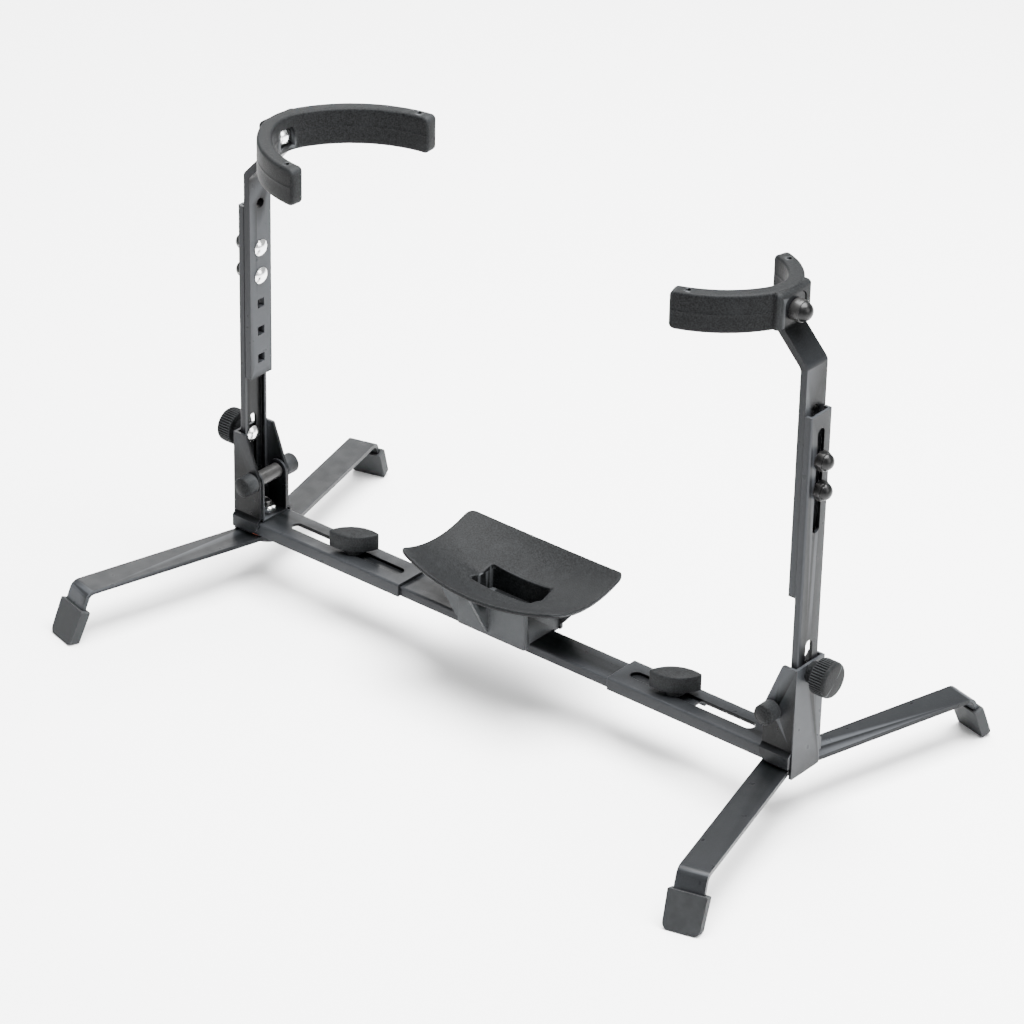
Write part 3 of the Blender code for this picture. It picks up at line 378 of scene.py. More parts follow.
def circle(radius, height, count):
    """A ring of points about Z."""
    turns = [2.0 * math.pi * i / count for i in range(count)]
    return [Vector((radius * math.cos(a), radius * math.sin(a), height)) for a in turns]


def polygon(sides, apothem, height, count):
    """A regular polygon sampled at the same angles as a circle."""
    step = 2.0 * math.pi / sides
    ring = []
    for i in range(count):
        angle = 2.0 * math.pi * i / count
        off = (angle + step / 2.0) % step - step / 2.0
        radius = apothem / math.cos(off)
        ring.append(Vector((radius * math.cos(angle), radius * math.sin(angle), height)))
    return ring


def bridge(bm, lower, upper):
    """Quads between two closed rings of equally many vertices."""
    count = len(lower)
    for i in range(count):
        j = (i + 1) % count
        bm.faces.new((lower[i], lower[j], upper[j], upper[i]))


def skin(name, rings, matrix=Matrix.Identity(4), closed=False):
    """Join rings of equally many points with quads; open stacks get flat ends."""
    bm = bmesh.new()
    loops = [[bm.verts.new(matrix @ Vector(point)) for point in ring] for ring in rings]
    pairs = list(zip(loops, loops[1:]))
    if closed:
        pairs.append((loops[-1], loops[0]))
    else:
        bm.faces.new(loops[0])
        bm.faces.new(loops[-1])
    for lower, upper in pairs:
        bridge(bm, lower, upper)
    return to_piece(name, bm)


def aimed(direction, base):
    """Matrix that turns Z to a direction and moves the origin to a base point."""
    turn = Vector((0.0, 0.0, 1.0)).rotation_difference(Vector(direction)).to_matrix().to_4x4()
    return Matrix.Translation(Vector(base)) @ turn


def turned(name, profile, direction, base, count=48):
    """A lathe shape from (radius, height) points, from its base up."""
    return skin(name, [circle(r, h, count) for r, h in profile], aimed(direction, base))


def cap_profile(radius, low, high, steps=8):
    """A domed end from the rim at a low height to the top, leaving a small flat."""
    rise = high - low
    ball = (radius * radius + rise * rise) / (2.0 * rise)
    points = []
    for step in range(steps):
        r = radius * math.cos(math.pi / 2.0 * step / steps)
        points.append((r, high - ball + math.sqrt(ball * ball - r * r)))
    points.append((radius * 0.06, high))
    return points


def prism(name, outline, along, low, high):
    """Extrude an outline. Along X it lies in YZ, along Y in XZ, and along Z in XY."""
    place = {
        "X": lambda u, v, w: (w, u, v),
        "Y": lambda u, v, w: (u, w, v),
        "Z": lambda u, v, w: (u, v, w),
    }[along]
    return skin(name, [[place(p[0], p[1], w) for p in outline] for w in (low, high)])


def block(name, low, high):
    """A plain cutter between two corners."""
    outline = [(low[0], low[1]), (high[0], low[1]), (high[0], high[1]), (low[0], high[1])]
    return prism(name, outline, "Z", low[2], high[2])


def arc(centre, radius, start, end, steps):
    """Points along an arc, in degrees."""
    angles = [math.radians(start + (end - start) * step / steps) for step in range(steps + 1)]
    return [(centre[0] + radius * math.cos(a), centre[1] + radius * math.sin(a)) for a in angles]


def side_matrix(side):
    """The left side is the right side turned half a turn about Z."""
    return Matrix.Rotation(0.0 if side == "right" else math.pi, 4, "Z")


def side_box(node, side):
    """A CAD node's box in its side's own frame."""
    low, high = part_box(node)
    if side == "left":
        return Vector((-high.x, -high.y, low.z)), Vector((-low.x, -low.y, high.z))
    return low, high


def settle(piece, side, node, body, slot):
    """Turn a piece to its side, give it its finish, and let it stand for its CAD node."""
    piece.data.transform(side_matrix(side))
    piece.data.materials.clear()
    piece.data.materials.append(FINISHES[slot])
    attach(piece, body)
    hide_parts(node)
    return piece


# ------------------------------------------------------------------ saddle

def dish_height(x, y):
    """Top surface of the dish with the shallow groove that runs out of the well."""
    rise_x = DISH_RISE[0] * (x / DISH_HALF[0]) ** 2
    rise_y = DISH_RISE[1] * (y / DISH_HALF[1]) ** 2
    run = max(0.0, abs(x) - WELL_HALF[0]) / GROOVE_REACH
    fade = max(0.0, 1.0 - run) ** 2
    groove = GROOVE_DEPTH * fade * math.exp(-((y / GROOVE_HALF_WIDTH) ** 2))
    return DISH_BOTTOM_Z + rise_x + rise_y - groove


def spread(points, count):
    """Points along a straight run, without its last point."""
    (x0, y0), (x1, y1) = points
    return [(x0 + (x1 - x0) * i / count, y0 + (y1 - y0) * i / count) for i in range(count)]


LONG_STEPS = 40
SHORT_STEPS = 20
CORNER_STEPS = 8


def well_outline(grow):
    """Rounded rectangle of the well, counted like the barrel outline."""
    x, y = WELL_HALF[0] + grow, WELL_HALF[1] + grow
    r = WELL_CORNER + grow
    points = spread(((-x + r, -y), (x - r, -y)), LONG_STEPS)
    points += arc((x - r, -y + r), r, -90, 0, CORNER_STEPS)[:-1]
    points += spread(((x, -y + r), (x, y - r)), SHORT_STEPS)
    points += arc((x - r, y - r), r, 0, 90, CORNER_STEPS)[:-1]
    points += [(-px, -py) for px, py in points]
    return points


def barrel_outline(inset):
    """Plan of the dish: bulging long sides and rounded corners."""
    half_x = DISH_HALF[0] - inset
    reach = DISH_HALF[1] + DISH_BULGE - inset
    corner = DISH_CORNER - inset
    bow = (DISH_HALF[0] ** 2 + DISH_BULGE ** 2) / (2.0 * DISH_BULGE) - inset
    bow_y = bow - reach
    corner_x = half_x - corner
    corner_y = bow_y - math.sqrt((bow - corner) ** 2 - corner_x ** 2)
    swing = math.degrees(math.asin(corner_x / (bow - corner)))
    points = arc((0.0, bow_y), bow, -90.0 - swing, -90.0 + swing, LONG_STEPS)[:-1]
    points += arc((corner_x, corner_y), corner, -90.0 + swing, 0.0, CORNER_STEPS)[:-1]
    points += spread(((half_x, corner_y), (half_x, -corner_y)), SHORT_STEPS)
    points += arc((corner_x, -corner_y), corner, 0.0, 90.0 - swing, CORNER_STEPS)[:-1]
    points += [(-px, -py) for px, py in points]
    return points


def dish():
    """Curved slab with a rounded lip and a rectangular hole."""
    rings = []
    hole = well_outline(0.0)
    rim = barrel_outline(DISH_LIP)

    def surface(outline, drop):
        return [(x, y, dish_height(x, y) - drop) for x, y in outline]

    def between(share, drop):
        pairs = zip(hole, rim)
        outline = [tuple(u + (v - u) * share for u, v in zip(a, b)) for a, b in pairs]
        return surface(outline, drop)

    rings.append(surface(hole, DISH_THICKNESS))
    rings.append(surface(hole, 1.0 * MM))
    rings.append(surface(well_outline(0.25 * MM), 0.3 * MM))
    rings.append(surface(well_outline(0.9 * MM), 0.0))
    rings.extend(between(step / 16.0, 0.0) for step in range(1, 17))
    for step in range(1, 7):
        a = math.radians(15.0 * step)
        inset = DISH_LIP * (1.0 - math.sin(a))
        rings.append(surface(barrel_outline(inset), DISH_LIP * (1.0 - math.cos(a))))
    rings.append(surface(barrel_outline(0.35 * MM), DISH_LIP + 0.25 * MM))
    rings.append(surface(barrel_outline(0.0), DISH_LIP + 0.5 * MM))
    for step in range(0, 5):
        a = math.radians(22.5 * step)
        inset = DISH_LIP * (1.0 - math.cos(a))
        drop = DISH_THICKNESS - DISH_LIP + DISH_LIP * math.sin(a)
        rings.append(surface(barrel_outline(inset), drop))
    rings.extend(between(step / 8.0, DISH_THICKNESS) for step in range(7, 0, -1))
    return skin("saddle_shell", rings, closed=True)


def saddle_block():
    """Solid block with two gussets at opposite corners and a rib on each long side."""
    half_x, half_y = BLOCK_HALF
    r = BLOCK_CORNER
    plan = arc((half_x - r, -half_y + r), r, -90, 0, 4)
    plan += arc((half_x - r, half_y - r), r, 0, 90, 4)
    plan += [(-x, -y) for x, y in plan]
    levels = (
        (0.985, BLOCK_BOTTOM_Z),
        (1.0, BLOCK_BOTTOM_Z + 0.6 * MM),
        (1.0, DISH_BOTTOM_Z - 0.8 * MM),
    )
    solids = [skin("core", [[(x * s, y * s, z) for x, y in plan] for s, z in levels])]
    for y, end in ((-half_y, -1.0), (half_y - BLOCK_WALL, 1.0)):
        plate = [
            (end * (half_x - 1.0 * MM), GUSSET_FOOT_Z),
            (end * (half_x + 1.0 * MM), GUSSET_FOOT_Z),
            (end * GUSSET_REACH, dish_height(GUSSET_REACH, GUSSET_TOP_Y) - 1.4 * MM),
            (end * (half_x - 1.0 * MM), dish_height(half_x, GUSSET_TOP_Y) - 1.4 * MM),
        ]
        solids.append(prism("gusset", plate, "Y", y + 0.05 * MM, y + BLOCK_WALL - 0.05 * MM))
    for way in (-1.0, 1.0):
        rib = [
            (way * (half_y - 1.0 * MM), RIB_FOOT_Z),
            (way * (half_y + 0.5 * MM), RIB_FOOT_Z),
            (way * RIB_REACH, dish_height(0.0, RIB_REACH) - 1.6 * MM),
            (way * (half_y - 1.0 * MM), dish_height(0.0, half_y) - 1.6 * MM),
        ]
        solids.append(prism("rib", rib, "X", *RIB_X))
    return solids


def saddle_cutters():
    """Pockets in the block's ends, the well, the rail's channel and the screw's hole."""
    half_x, half_y = BLOCK_HALF
    wall_y = half_y - BLOCK_WALL
    cutters = []
    for way in (-1.0, 1.0):
        low_x, high_x = sorted((way * (half_x - POCKET_DEPTH), way * (half_x + 1.0 * MM)))
        corners = (low_x, -wall_y, POCKET_Z[0]), (high_x, wall_y, POCKET_Z[1])
        cutters.append(block("pocket", *corners))
    rail_low, rail_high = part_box("end_rail_right")
    rail_half = (rail_high.y - rail_low.y) / 2.0 - SHEET
    rail_top = rail_high.z - SHEET
    well = well_outline(-0.02 * MM)
    bore = [(HOLE_RADIUS, 0.0), (HOLE_RADIUS, 30 * MM)]
    cutters.append(prism("well", well, "Z", WELL_FLOOR_Z, DISH_BOTTOM_Z + 5.0 * MM))
    corners = (-40 * MM, -rail_half, 30 * MM), (40 * MM, rail_half, rail_top)
    cutters.append(block("channel", *corners))
    cutters.append(turned("hole", bore, (0, 0, 1), (0, 0, 38 * MM)))
    return cutters


def saddle():
    """Dish, straddling block, ribs and gussets as one moulding."""
    body = dish()
    boolean(body, "UNION", *saddle_block())
    boolean(body, "DIFFERENCE", *saddle_cutters())
    low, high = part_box("saddle")
    body.data.transform(Matrix.Translation(((low.x + high.x) / 2.0, 0.0, 0.0)))
    settle(body, "right", "saddle", "base", "textured_plastic")
    return soften(body, SHEET_EDGE, 2, math.radians(55.0))


def saddle_screw():
    """Pan head with a cross recess in the well's floor."""
    low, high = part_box("saddle_screw")
    head = (high.x - low.x) / 2.0
    under_head = high.z - 3.2 * MM
    profile = [(SHANK_RADIUS, low.z), (SHANK_RADIUS, under_head), (head, under_head)]
    profile.append((head, high.z - 2.2 * MM))
    profile += arc((head - 1.6 * MM, high.z - 1.7 * MM), 1.6 * MM, 0, 80, 5)
    profile += [(1.0 * MM, high.z)]
    screw = turned("saddle_screw_fine", profile, (0, 0, 1), (0, 0, 0))
    bottom, above = high.z - 1.8 * MM, high.z + 1.0 * MM
    for x, y in ((2.6 * MM, 0.6 * MM), (0.6 * MM, 2.6 * MM)):
        boolean(screw, "DIFFERENCE", block("arm", (-x, -y, bottom), (x, y, above)))
    screw.data.transform(Matrix.Translation(((low.x + high.x) / 2.0, 0.0, 0.0)))
    return settle(screw, "right", "saddle_screw", "base", "zinc_plate")


# ---------------------------------------------------------------- cradles

def slab_columns(half_length, half_height, corner, count=64, corner_steps=5):
    """(distance, half height) columns of a rounded rectangle, from one end to the other."""
    ends = []
    for step in range(corner_steps + 1):
        a = math.radians(90.0 * step / corner_steps)
        s = half_length - corner * (1.0 - math.cos(a))
        ends.append((s, half_height - corner * (1.0 - math.sin(a))))
    flat = half_length - corner
    middle = [(-flat + 2.0 * flat * i / count, half_height) for i in range(1, count)]
    return [(-s, h) for s, h in ends] + middle + list(reversed(ends))


def edge_levels(half_band, edge, steps=5):
    """(inset, depth) levels from the inner face round the soft edge to the outer face."""
    inner = []
    for step in range(steps + 1):
        a = math.radians(90.0 * step / steps)
        inner.append((edge * (1.0 - math.sin(a)), -half_band + edge * (1.0 - math.cos(a))))
    return inner + [(inset, -depth) for inset, depth in reversed(inner)]


def arm_arcs(side, toward):
    """The long arm lies toward -Y in the side's own frame and the short one toward +Y."""
    return (LONG_ARM if toward < 0 else SHORT_ARM)[side]


def arm_point(side, toward, distance):
    """Middle line of one arm: its point and its outward normal, a given distance along it."""
    (near_radius, near_angle), (far_radius, far_angle) = arm_arcs(side, toward)
    near_length = near_radius * math.radians(near_angle)
    x = CRADLE_BACK_X[side] - near_radius
    if distance <= near_length:
        angle = distance / near_radius
        radius = near_radius
        y = 0.0
    else:
        turn = math.radians(near_angle)
        angle = turn + (distance - near_length) / far_radius
        radius = far_radius
        x += (near_radius - far_radius) * math.cos(turn)
        y = (near_radius - far_radius) * math.sin(turn)
    normal = Vector((math.cos(angle), toward * math.sin(angle)))
    return Vector((x, toward * y)) + normal * radius, normal


def arm_length(side, toward):
    """Length of one arm's middle line."""
    (near_radius, near_angle), (far_radius, far_angle) = arm_arcs(side, toward)
    near_length = near_radius * math.radians(near_angle)
    return near_length + far_radius * math.radians(far_angle - near_angle)


def bent_band(name, side, low, high):
    """Rounded-rectangle strip bent round the instrument, with soft edges and a mould line."""
    long_arm, short_arm = arm_length(side, -1.0), arm_length(side, 1.0)
    half_length = (long_arm + short_arm) / 2.0
    offset = (short_arm - long_arm) / 2.0
    half_height = (high - low) / 2.0
    middle_z = (high + low) / 2.0
    shares = (1.0, 0.6, 0.2, 0.03, 0.0, -0.03, -0.2, -0.6, -1.0)
    bm = bmesh.new()

    def vertex(distance, depth, z):
        along = distance + offset
        point, normal = arm_point(side, math.copysign(1.0, along), abs(along))
        place = point + normal * depth
        return bm.verts.new((place.x, place.y, z))

    grids = []
    for inset, depth in edge_levels(CRADLE_BAND / 2.0, CRADLE_EDGE):
        ridge = {share: 0.0 for share in shares}
        ridge[0.0] = math.copysign(MOULD_LINE, depth) if inset > 0.9 * CRADLE_EDGE else 0.0
        columns = slab_columns(half_length - inset, half_height - inset, CRADLE_CORNER - inset)
        grid = []
        for s, h in columns:
            grid.append([vertex(s, depth + ridge[k], middle_z + h * k) for k in shares])
        grids.append(grid)
    for grid in (grids[0], grids[-1]):
        for near, far in zip(grid, grid[1:]):
            for j in range(len(shares) - 1):
                bm.faces.new((near[j], far[j], far[j + 1], near[j + 1]))
    loops = []
    for grid in grids:
        top = [column[0] for column in grid]
        bottom = [column[-1] for column in reversed(grid)]
        loops.append(top + grid[-1][1:-1] + bottom + list(reversed(grid[0][1:-1])))
    for lower, upper in zip(loops, loops[1:]):
        bridge(bm, lower, upper)
    # Only the rims of the levels between the two faces are used.
    for spare in [v for v in bm.verts if not v.link_faces]:
        bm.verts.remove(spare)
    return to_piece(name, bm)


def boss(side, low, high, end):
    """Pad behind the band: round corners, a small lower edge and a top that rolls off."""
    start = CRADLE_BACK_X[side] - 3.0 * MM
    corner = 2.6 * MM
    plan = [(start, -BOSS_HALF)] + arc((end - corner, -BOSS_HALF + corner), corner, -90, 0, 6)
    plan += [(x, -y) for x, y in reversed(plan)]
    under, roll = 1.2 * MM, 3.0 * MM
    levels = []
    for step in range(5):
        a = math.radians(22.5 * step)
        levels.append((under * (1.0 - math.sin(a)), low + under * (1.0 - math.cos(a))))
    for step in range(7):
        a = math.radians(15.0 * step)
        levels.append((roll * (1.0 - math.cos(a)), high - roll * (1.0 - math.sin(a))))
    rings = []
    for inset, z in levels:
        along = 1.0 - inset / (end - start)
        across = 1.0 - inset / BOSS_HALF
        rings.append([(start + (x - start) * along, y * across, z) for x, y in plan])
    return skin("boss", rings)


def cradle_cutters(side, low, high):
    """The bar's recess, the bolt's hole and window, and a hole in each tip."""
    bar_low, bar_high = side_box(f"upper_bar_{side}", side)
    bolt_low, bolt_high = side_box(f"cradle_bolt_{side}", side)
    bolt_z = (bolt_low.z + bolt_high.z) / 2.0
    half = (bar_high.y - bar_low.y) / 2.0 + RECESS_GAP
    top = bar_high.z + 0.4 * MM
    bend = RECESS_CORNER
    recess = [(-half, low.z - 5 * MM), (half, low.z - 5 * MM)]
    recess += arc((half - bend, top - bend), bend, 0, 90, 6)
    recess += arc((bend - half, top - bend), bend, 90, 180, 6)
    inner = CRADLE_BACK_X[side] - CRADLE_BAND / 2.0
    start = inner - 9 * MM
    bore = [(HOLE_RADIUS, 0.0), (HOLE_RADIUS, 40 * MM)]
    window_low = (start, -WINDOW_HALF, bolt_z - WINDOW_HALF)
    window_high = (inner + WINDOW_DEPTH, WINDOW_HALF, bolt_z + WINDOW_HALF)
    cutters = [
        prism("recess", recess, "X", high.x - RECESS_DEPTH, high.x + 9 * MM),
        turned("hole", bore, (1, 0, 0), (start, 0, bolt_z)),
        block("window", window_low, window_high),
    ]
    tip_bore = [(TIP_HOLE_RADIUS, 0.0), (TIP_HOLE_RADIUS, 10 * MM)]
    for toward in (-1.0, 1.0):
        distance = arm_length(side, toward) - TIP_HOLE_INSET
        place = arm_point(side, toward, distance)[0]
        spot = (place.x, place.y, high.z - 5 * MM)
        cutters.append(turned("tip_hole", tip_bore, (0, 0, 1), spot, 24))
    return cutters


def cradle(side):
    """C-shaped band with a boss whose recess holds the end of the bar."""
    node = f"cradle_{side}"
    low, high = side_box(node, side)
    band = bent_band(f"{node}_fine", side, low.z, high.z)
    boolean(band, "UNION", boss(side, low.z + BOSS_INSET, high.z - BOSS_INSET, high.x))
    boolean(band, "DIFFERENCE", *cradle_cutters(side, low, high))
    settle(band, side, node, f"bar_{side}_body", "textured_plastic")
    return soften(band, CRADLE_SOFT_EDGE, 2, math.radians(60.0))


# ------------------------------------------------------------ knobs and caps

def lens_outline(inset):
    """Lens-shaped plan of the wing knob, turned off the rail's line, with round tips."""
    long_half, short_half = WING_HALF
    tip = WING_TIP
    bow = (long_half ** 2 + short_half ** 2) / (2.0 * short_half)
    drop = bow - short_half
    tip_x = math.sqrt((bow - tip) ** 2 - drop ** 2)
    swing = math.degrees(math.asin(tip_x / (bow - tip)))
    half = arc((0.0, -drop), bow - inset, 90.0 - swing, 90.0 + swing, 32)
    half += arc((-tip_x, 0.0), tip - min(inset, 0.8 * tip), 90.0 + swing, 270.0 - swing, 8)[1:-1]
    points = half + [(-x, -y) for x, y in half]
    turn = Matrix.Rotation(WING_TURN, 2)
    return [turn @ Vector(point) for point in points]


def rail_knob(side):
    """Wing knob with a crisp wall, a rolled top edge and a low crown, on a round neck."""
    node = f"rail_knob_{side}"
    low, high = side_box(node, side)
    centre = (low + high) / 2.0
    wing_low = high.z - WING_HEIGHT
    levels = [(1.0 * MM, wing_low), (0.3 * MM, wing_low + 0.3 * MM), (0.0, wing_low + 1.0 * MM)]
    edge = ((0.0, 1.9), (0.12, 1.4), (0.4, 1.0), (0.9, 0.75))
    levels += [(inset * MM, high.z - drop * MM) for inset, drop in edge]
    rings = [[(x, y, z) for x, y in lens_outline(inset)] for inset, z in levels]
    crown = lens_outline(0.9 * MM)
    for step in range(1, 8):
        share = 1.0 - step / 8.0
        z = high.z - 0.75 * MM + 0.75 * MM * (1.0 - share * share)
        rings.append([(x * share, y * share, z) for x, y in crown])
    wing = skin(f"{node}_fine", rings)
    neck = [(6.2 * MM, 0.0), (7.0 * MM, 0.5 * MM), (7.0 * MM, 3.6 * MM)]
    neck_z = wing_low - 2.7 * MM
    stud = [(2.6 * MM, 0.0), (SHANK_RADIUS, 0.6 * MM), (SHANK_RADIUS, wing_low - low.z)]
    boolean(
        wing,
        "UNION",
        turned("neck", neck, (0, 0, 1), (0, 0, neck_z), 64),
        turned("stud", stud, (0, 0, 1), (0, 0, low.z), 32),
    )
    wing.data.transform(Matrix.Translation((centre.x, centre.y, 0.0)))
    return settle(wing, side, node, f"rail_knob_{side}_body", "textured_plastic")


def knurled_ring(radius, height, depth):
    """A ring about Z whose radius dips between the knurls."""
    count = KNURLS * 6
    points = []
    for i in range(count):
        a = 2.0 * math.pi * i / count
        r = radius - depth * (0.5 - 0.5 * math.cos(KNURLS * a)) ** 2
        points.append((r * math.cos(a), r * math.sin(a), height))
    return points


def post_knob(side):
    """Knurled clamp knob: ribbed rim, rounded shoulder, slightly crowned face, slim neck."""
    node = f"post_knob_{side}"
    low, high = side_box(node, side)
    radius = (high.z - low.z) / 2.0
    base = (low.x, 0.0, (low.z + high.z) / 2.0)
    length = high.x - low.x
    rim_low = 6.3 * MM
    rim_high = length - 2.6 * MM
    levels = [
        (NUT_BORE, 9.0 * MM, 0.0),
        (NUT_BORE, 0.0, 0.0),
        (6.7 * MM, 0.0, 0.0),
        (7.2 * MM, 0.5 * MM, 0.0),
        (7.2 * MM, rim_low - 0.6 * MM, 0.0),
        (7.8 * MM, rim_low, 0.0),
        (radius - 1.3 * MM, rim_low, 0.0),
        (radius - 0.35 * MM, rim_low + 0.5 * MM, 0.2 * KNURL_DEPTH),
        (radius, rim_low + 1.3 * MM, KNURL_DEPTH),
        (radius, rim_high - 0.7 * MM, KNURL_DEPTH),
        (radius - 0.1 * MM, rim_high, 0.3 * KNURL_DEPTH),
    ]
    shoulder = 2.0 * MM
    for step in range(1, 6):
        a = math.radians(16.0 * step)
        r = radius - 0.15 * MM - shoulder * (1 - math.cos(a))
        levels.append((r, rim_high + shoulder * math.sin(a), 0.0))
    face, face_low = levels[-1][:2]
    for step in range(1, 8):
        share = 1.0 - step / 8.0
        height = face_low + (length - face_low) * (1 - share * share)
        levels.append((face * share, height, 0.0))
    rings = [knurled_ring(*level) for level in levels]
    knob = skin(f"{node}_fine", rings, aimed((1, 0, 0), base))
    return settle(knob, side, node, f"post_knob_{side}_body", "textured_plastic")


def pin_cap(side, place):
    """Push-on cap: straight wall, rolled rim and a shallow crowned face."""
    node = f"pin_cap_{side}_{place}"
    low, high = side_box(node, side)
    centre = (low + high) / 2.0
    radius = (high.x - low.x) / 2.0 - 0.2 * MM
    length = high.y - low.y
    toward = math.copysign(1.0, centre.y)
    base = (centre.x, low.y if toward > 0 else high.y, centre.z)
    profile = [(NUT_BORE, 6.4 * MM), (NUT_BORE, 0.0)]
    profile += [(radius - 0.3 * MM, 0.0), (radius, 0.3 * MM)]
    roll = 1.3 * MM
    top = length - 1.0 * MM
    profile += arc((radius - roll, top - roll), roll, 0.0, 80.0, 7)
    face = radius - 2.1 * MM
    face_low = top + 0.16 * MM
    profile += [(radius - 1.6 * MM, top + 0.02 * MM), (face, face_low)]
    for step in range(1, 7):
        share = 1.0 - step / 7.0
        height = face_low + 0.8 * MM * (1 - share * share)
        profile.append((face * share + 0.2 * MM, height))
    cap = turned(f"{node}_fine", profile, (0, toward, 0), base, 64)
    return settle(cap, side, node, f"bracket_{side}", "textured_plastic")


# --------------------------------------------------------------- fasteners

def thread(radius, low, high, pitch=1.0 * MM):
    """Profile of a threaded shank, as a stack of crests and roots."""
    points = []
    turns = int((high - low) / pitch)
    for index in range(turns):
        foot = low + index * pitch
        points += [(radius - 0.45 * MM, foot + 0.1 * pitch), (radius, foot + 0.45 * pitch)]
        points += [(radius, foot + 0.6 * pitch), (radius - 0.45 * MM, foot + 0.95 * pitch)]
    return points + [(radius - 0.5 * MM, high - 0.4 * MM), (radius - 1.0 * MM, high)]


def axis_start(low, high):
    """Middle of a box's inner end, where an axis along X begins."""
    return low.x, (low.y + high.y) / 2.0, (low.z + high.z) / 2.0


def carriage_bolt(node, side, body, square):
    """Polished round head, square neck and shank, pointing out from the post."""
    low, high = side_box(node, side)
    head = (high.z - low.z) / 2.0
    rise = 2.6 * MM
    length = high.x - low.x
    count = 64
    dome = cap_profile(head - 0.1 * MM, 0.35 * MM, rise, 10)
    rings = [circle(r, rise - h, count) for r, h in reversed(dome)]
    rings += [circle(head, rise - 0.25 * MM, count), circle(head - 0.1 * MM, rise, count)]
    if square:
        rings += [polygon(4, 2.8 * MM, z, count) for z in (rise, rise + 4.0 * MM)]
    shank_start = rise + (4.2 * MM if square else 0.0)
    rings += [circle(SHANK_RADIUS, z, count) for z in (shank_start, length - 0.6 * MM)]
    rings.append(circle(2.4 * MM, length, count))
    bolt = skin(f"{node}_fine", rings, aimed((1, 0, 0), axis_start(low, high)))
    return settle(bolt, side, node, body, "zinc_plate")


def cap_nut(node, side, body):
    """Chamfered hexagon with a turned collar and a domed cap."""
    low, high = side_box(node, side)
    length = high.x - low.x
    flat = 5.7 * MM
    count = 72
    collar = ((5.2, 4.8), (5.1, 5.3), (5.35, 5.5))
    rings = [circle(NUT_BORE, 6.2 * MM, count), circle(NUT_BORE, 0.0, count)]
    rings += [circle(flat - 0.1 * MM, 0.0, count), polygon(6, flat, 0.5 * MM, count)]
    rings += [polygon(6, flat, 4.0 * MM, count), circle(flat, 4.7 * MM, count)]
    rings += [circle(r * MM, h * MM, count) for r, h in collar]
    rings += [circle(r, h, count) for r, h in cap_profile(5.3 * MM, 5.7 * MM, length, 9)]
    nut = skin(f"{node}_fine", rings, aimed((1, 0, 0), axis_start(low, high)))
    return settle(nut, side, node, body, "black_fasteners")


def cradle_nut(side):
    """Round capped nut with a lip under its dome."""
    node = f"cradle_nut_{side}"
    low, high = side_box(node, side)
    length = high.x - low.x
    radius = (high.z - low.z) / 2.0
    lip = ((0.3, 0.0), (0.0, 0.3), (0.0, 5.9), (0.2, 6.4), (0.7, 6.6))
    profile = [(NUT_BORE, 6.8 * MM), (NUT_BORE, 0.0)]
    profile += [(radius - inset * MM, height * MM) for inset, height in lip]
    profile += cap_profile(radius - 0.8 * MM, 6.9 * MM, length, 10)
    nut = turned(f"{node}_fine", profile, (1, 0, 0), axis_start(low, high), 64)
    return settle(nut, side, node, f"bar_{side}_body", "black_fasteners")


def leg_bolt(side):
    """Button head with a hexagon socket, and the threaded end above the nut."""
    node = f"leg_bolt_{side}"
    low, high = side_box(node, side)
    centre = (low + high) / 2.0
    head = (high.x - low.x) / 2.0
    rise = 3.6 * MM
    length = high.z - low.z
    dome = cap_profile(head, 0.4 * MM, rise, 10)
    thread_start = length - 8.0 * MM
    profile = [(r, rise - h) for r, h in reversed(dome)]
    profile += [(head, rise - 0.1 * MM), (SHANK_RADIUS, rise), (SHANK_RADIUS, thread_start)]
    profile += thread(SHANK_RADIUS, thread_start, length)
    bolt = turned(f"{node}_fine", profile, (0, 0, 1), (centre.x, centre.y, low.z), 48)
    foot = Matrix.Translation((centre.x, centre.y, low.z))
    socket = skin("socket", [polygon(6, 2.0 * MM, h, 24) for h in (-1.0 * MM, 2.0 * MM)], foot)
    boolean(bolt, "DIFFERENCE", socket)
    return settle(bolt, side, node, f"rail_end_{side}", "black_fasteners")


def plain_nut(node, side, body, sides, slot):
    """Chamfered nut with a countersunk bore, its axis upright."""
    low, high = side_box(node, side)
    centre = (low + high) / 2.0
    flat = 5.0 * MM
    height = high.z - low.z
    count = 72
    mouth = 3.7 * MM
    chamfer = 0.5 * MM
    rings = [
        circle(NUT_BORE, 0.6 * MM, count),
        circle(mouth, 0.0, count),
        circle(flat - 0.1 * MM, 0.0, count),
        polygon(sides, flat, chamfer, count),
        polygon(sides, flat, height - chamfer, count),
        circle(flat - 0.1 * MM, height, count),
        circle(mouth, height, count),
        circle(NUT_BORE, height - 0.6 * MM, count),
    ]
    foot = Matrix.Translation((centre.x, centre.y, low.z))
    nut = skin(f"{node}_fine", rings, foot, closed=True)
    return settle(nut, side, node, body, slot)


def tube(node, side, body, edge, direction, slot):
    """Washer or sleeve with eased edges round a bolt or pin."""
    low, high = side_box(node, side)
    centre = (low + high) / 2.0
    upright = direction == (0, 0, 1)
    outer = (high.x - low.x) / 2.0
    length = (high.z - low.z) if upright else (high.y - low.y)
    base = (centre.x, centre.y, low.z) if upright else (centre.x, low.y, centre.z)
    inner = HOLE_RADIUS
    profile = [(inner, edge), (inner + edge, 0.0), (outer - edge, 0.0), (outer, edge)]
    profile += [(outer, length - edge), (outer - edge, length)]
    profile += [(inner + edge, length), (inner, length - edge)]
    rings = [circle(r, h, 64) for r, h in profile]
    ring = skin(f"{node}_fine", rings, aimed(direction, base), closed=True)
    return settle(ring, side, node, body, slot)


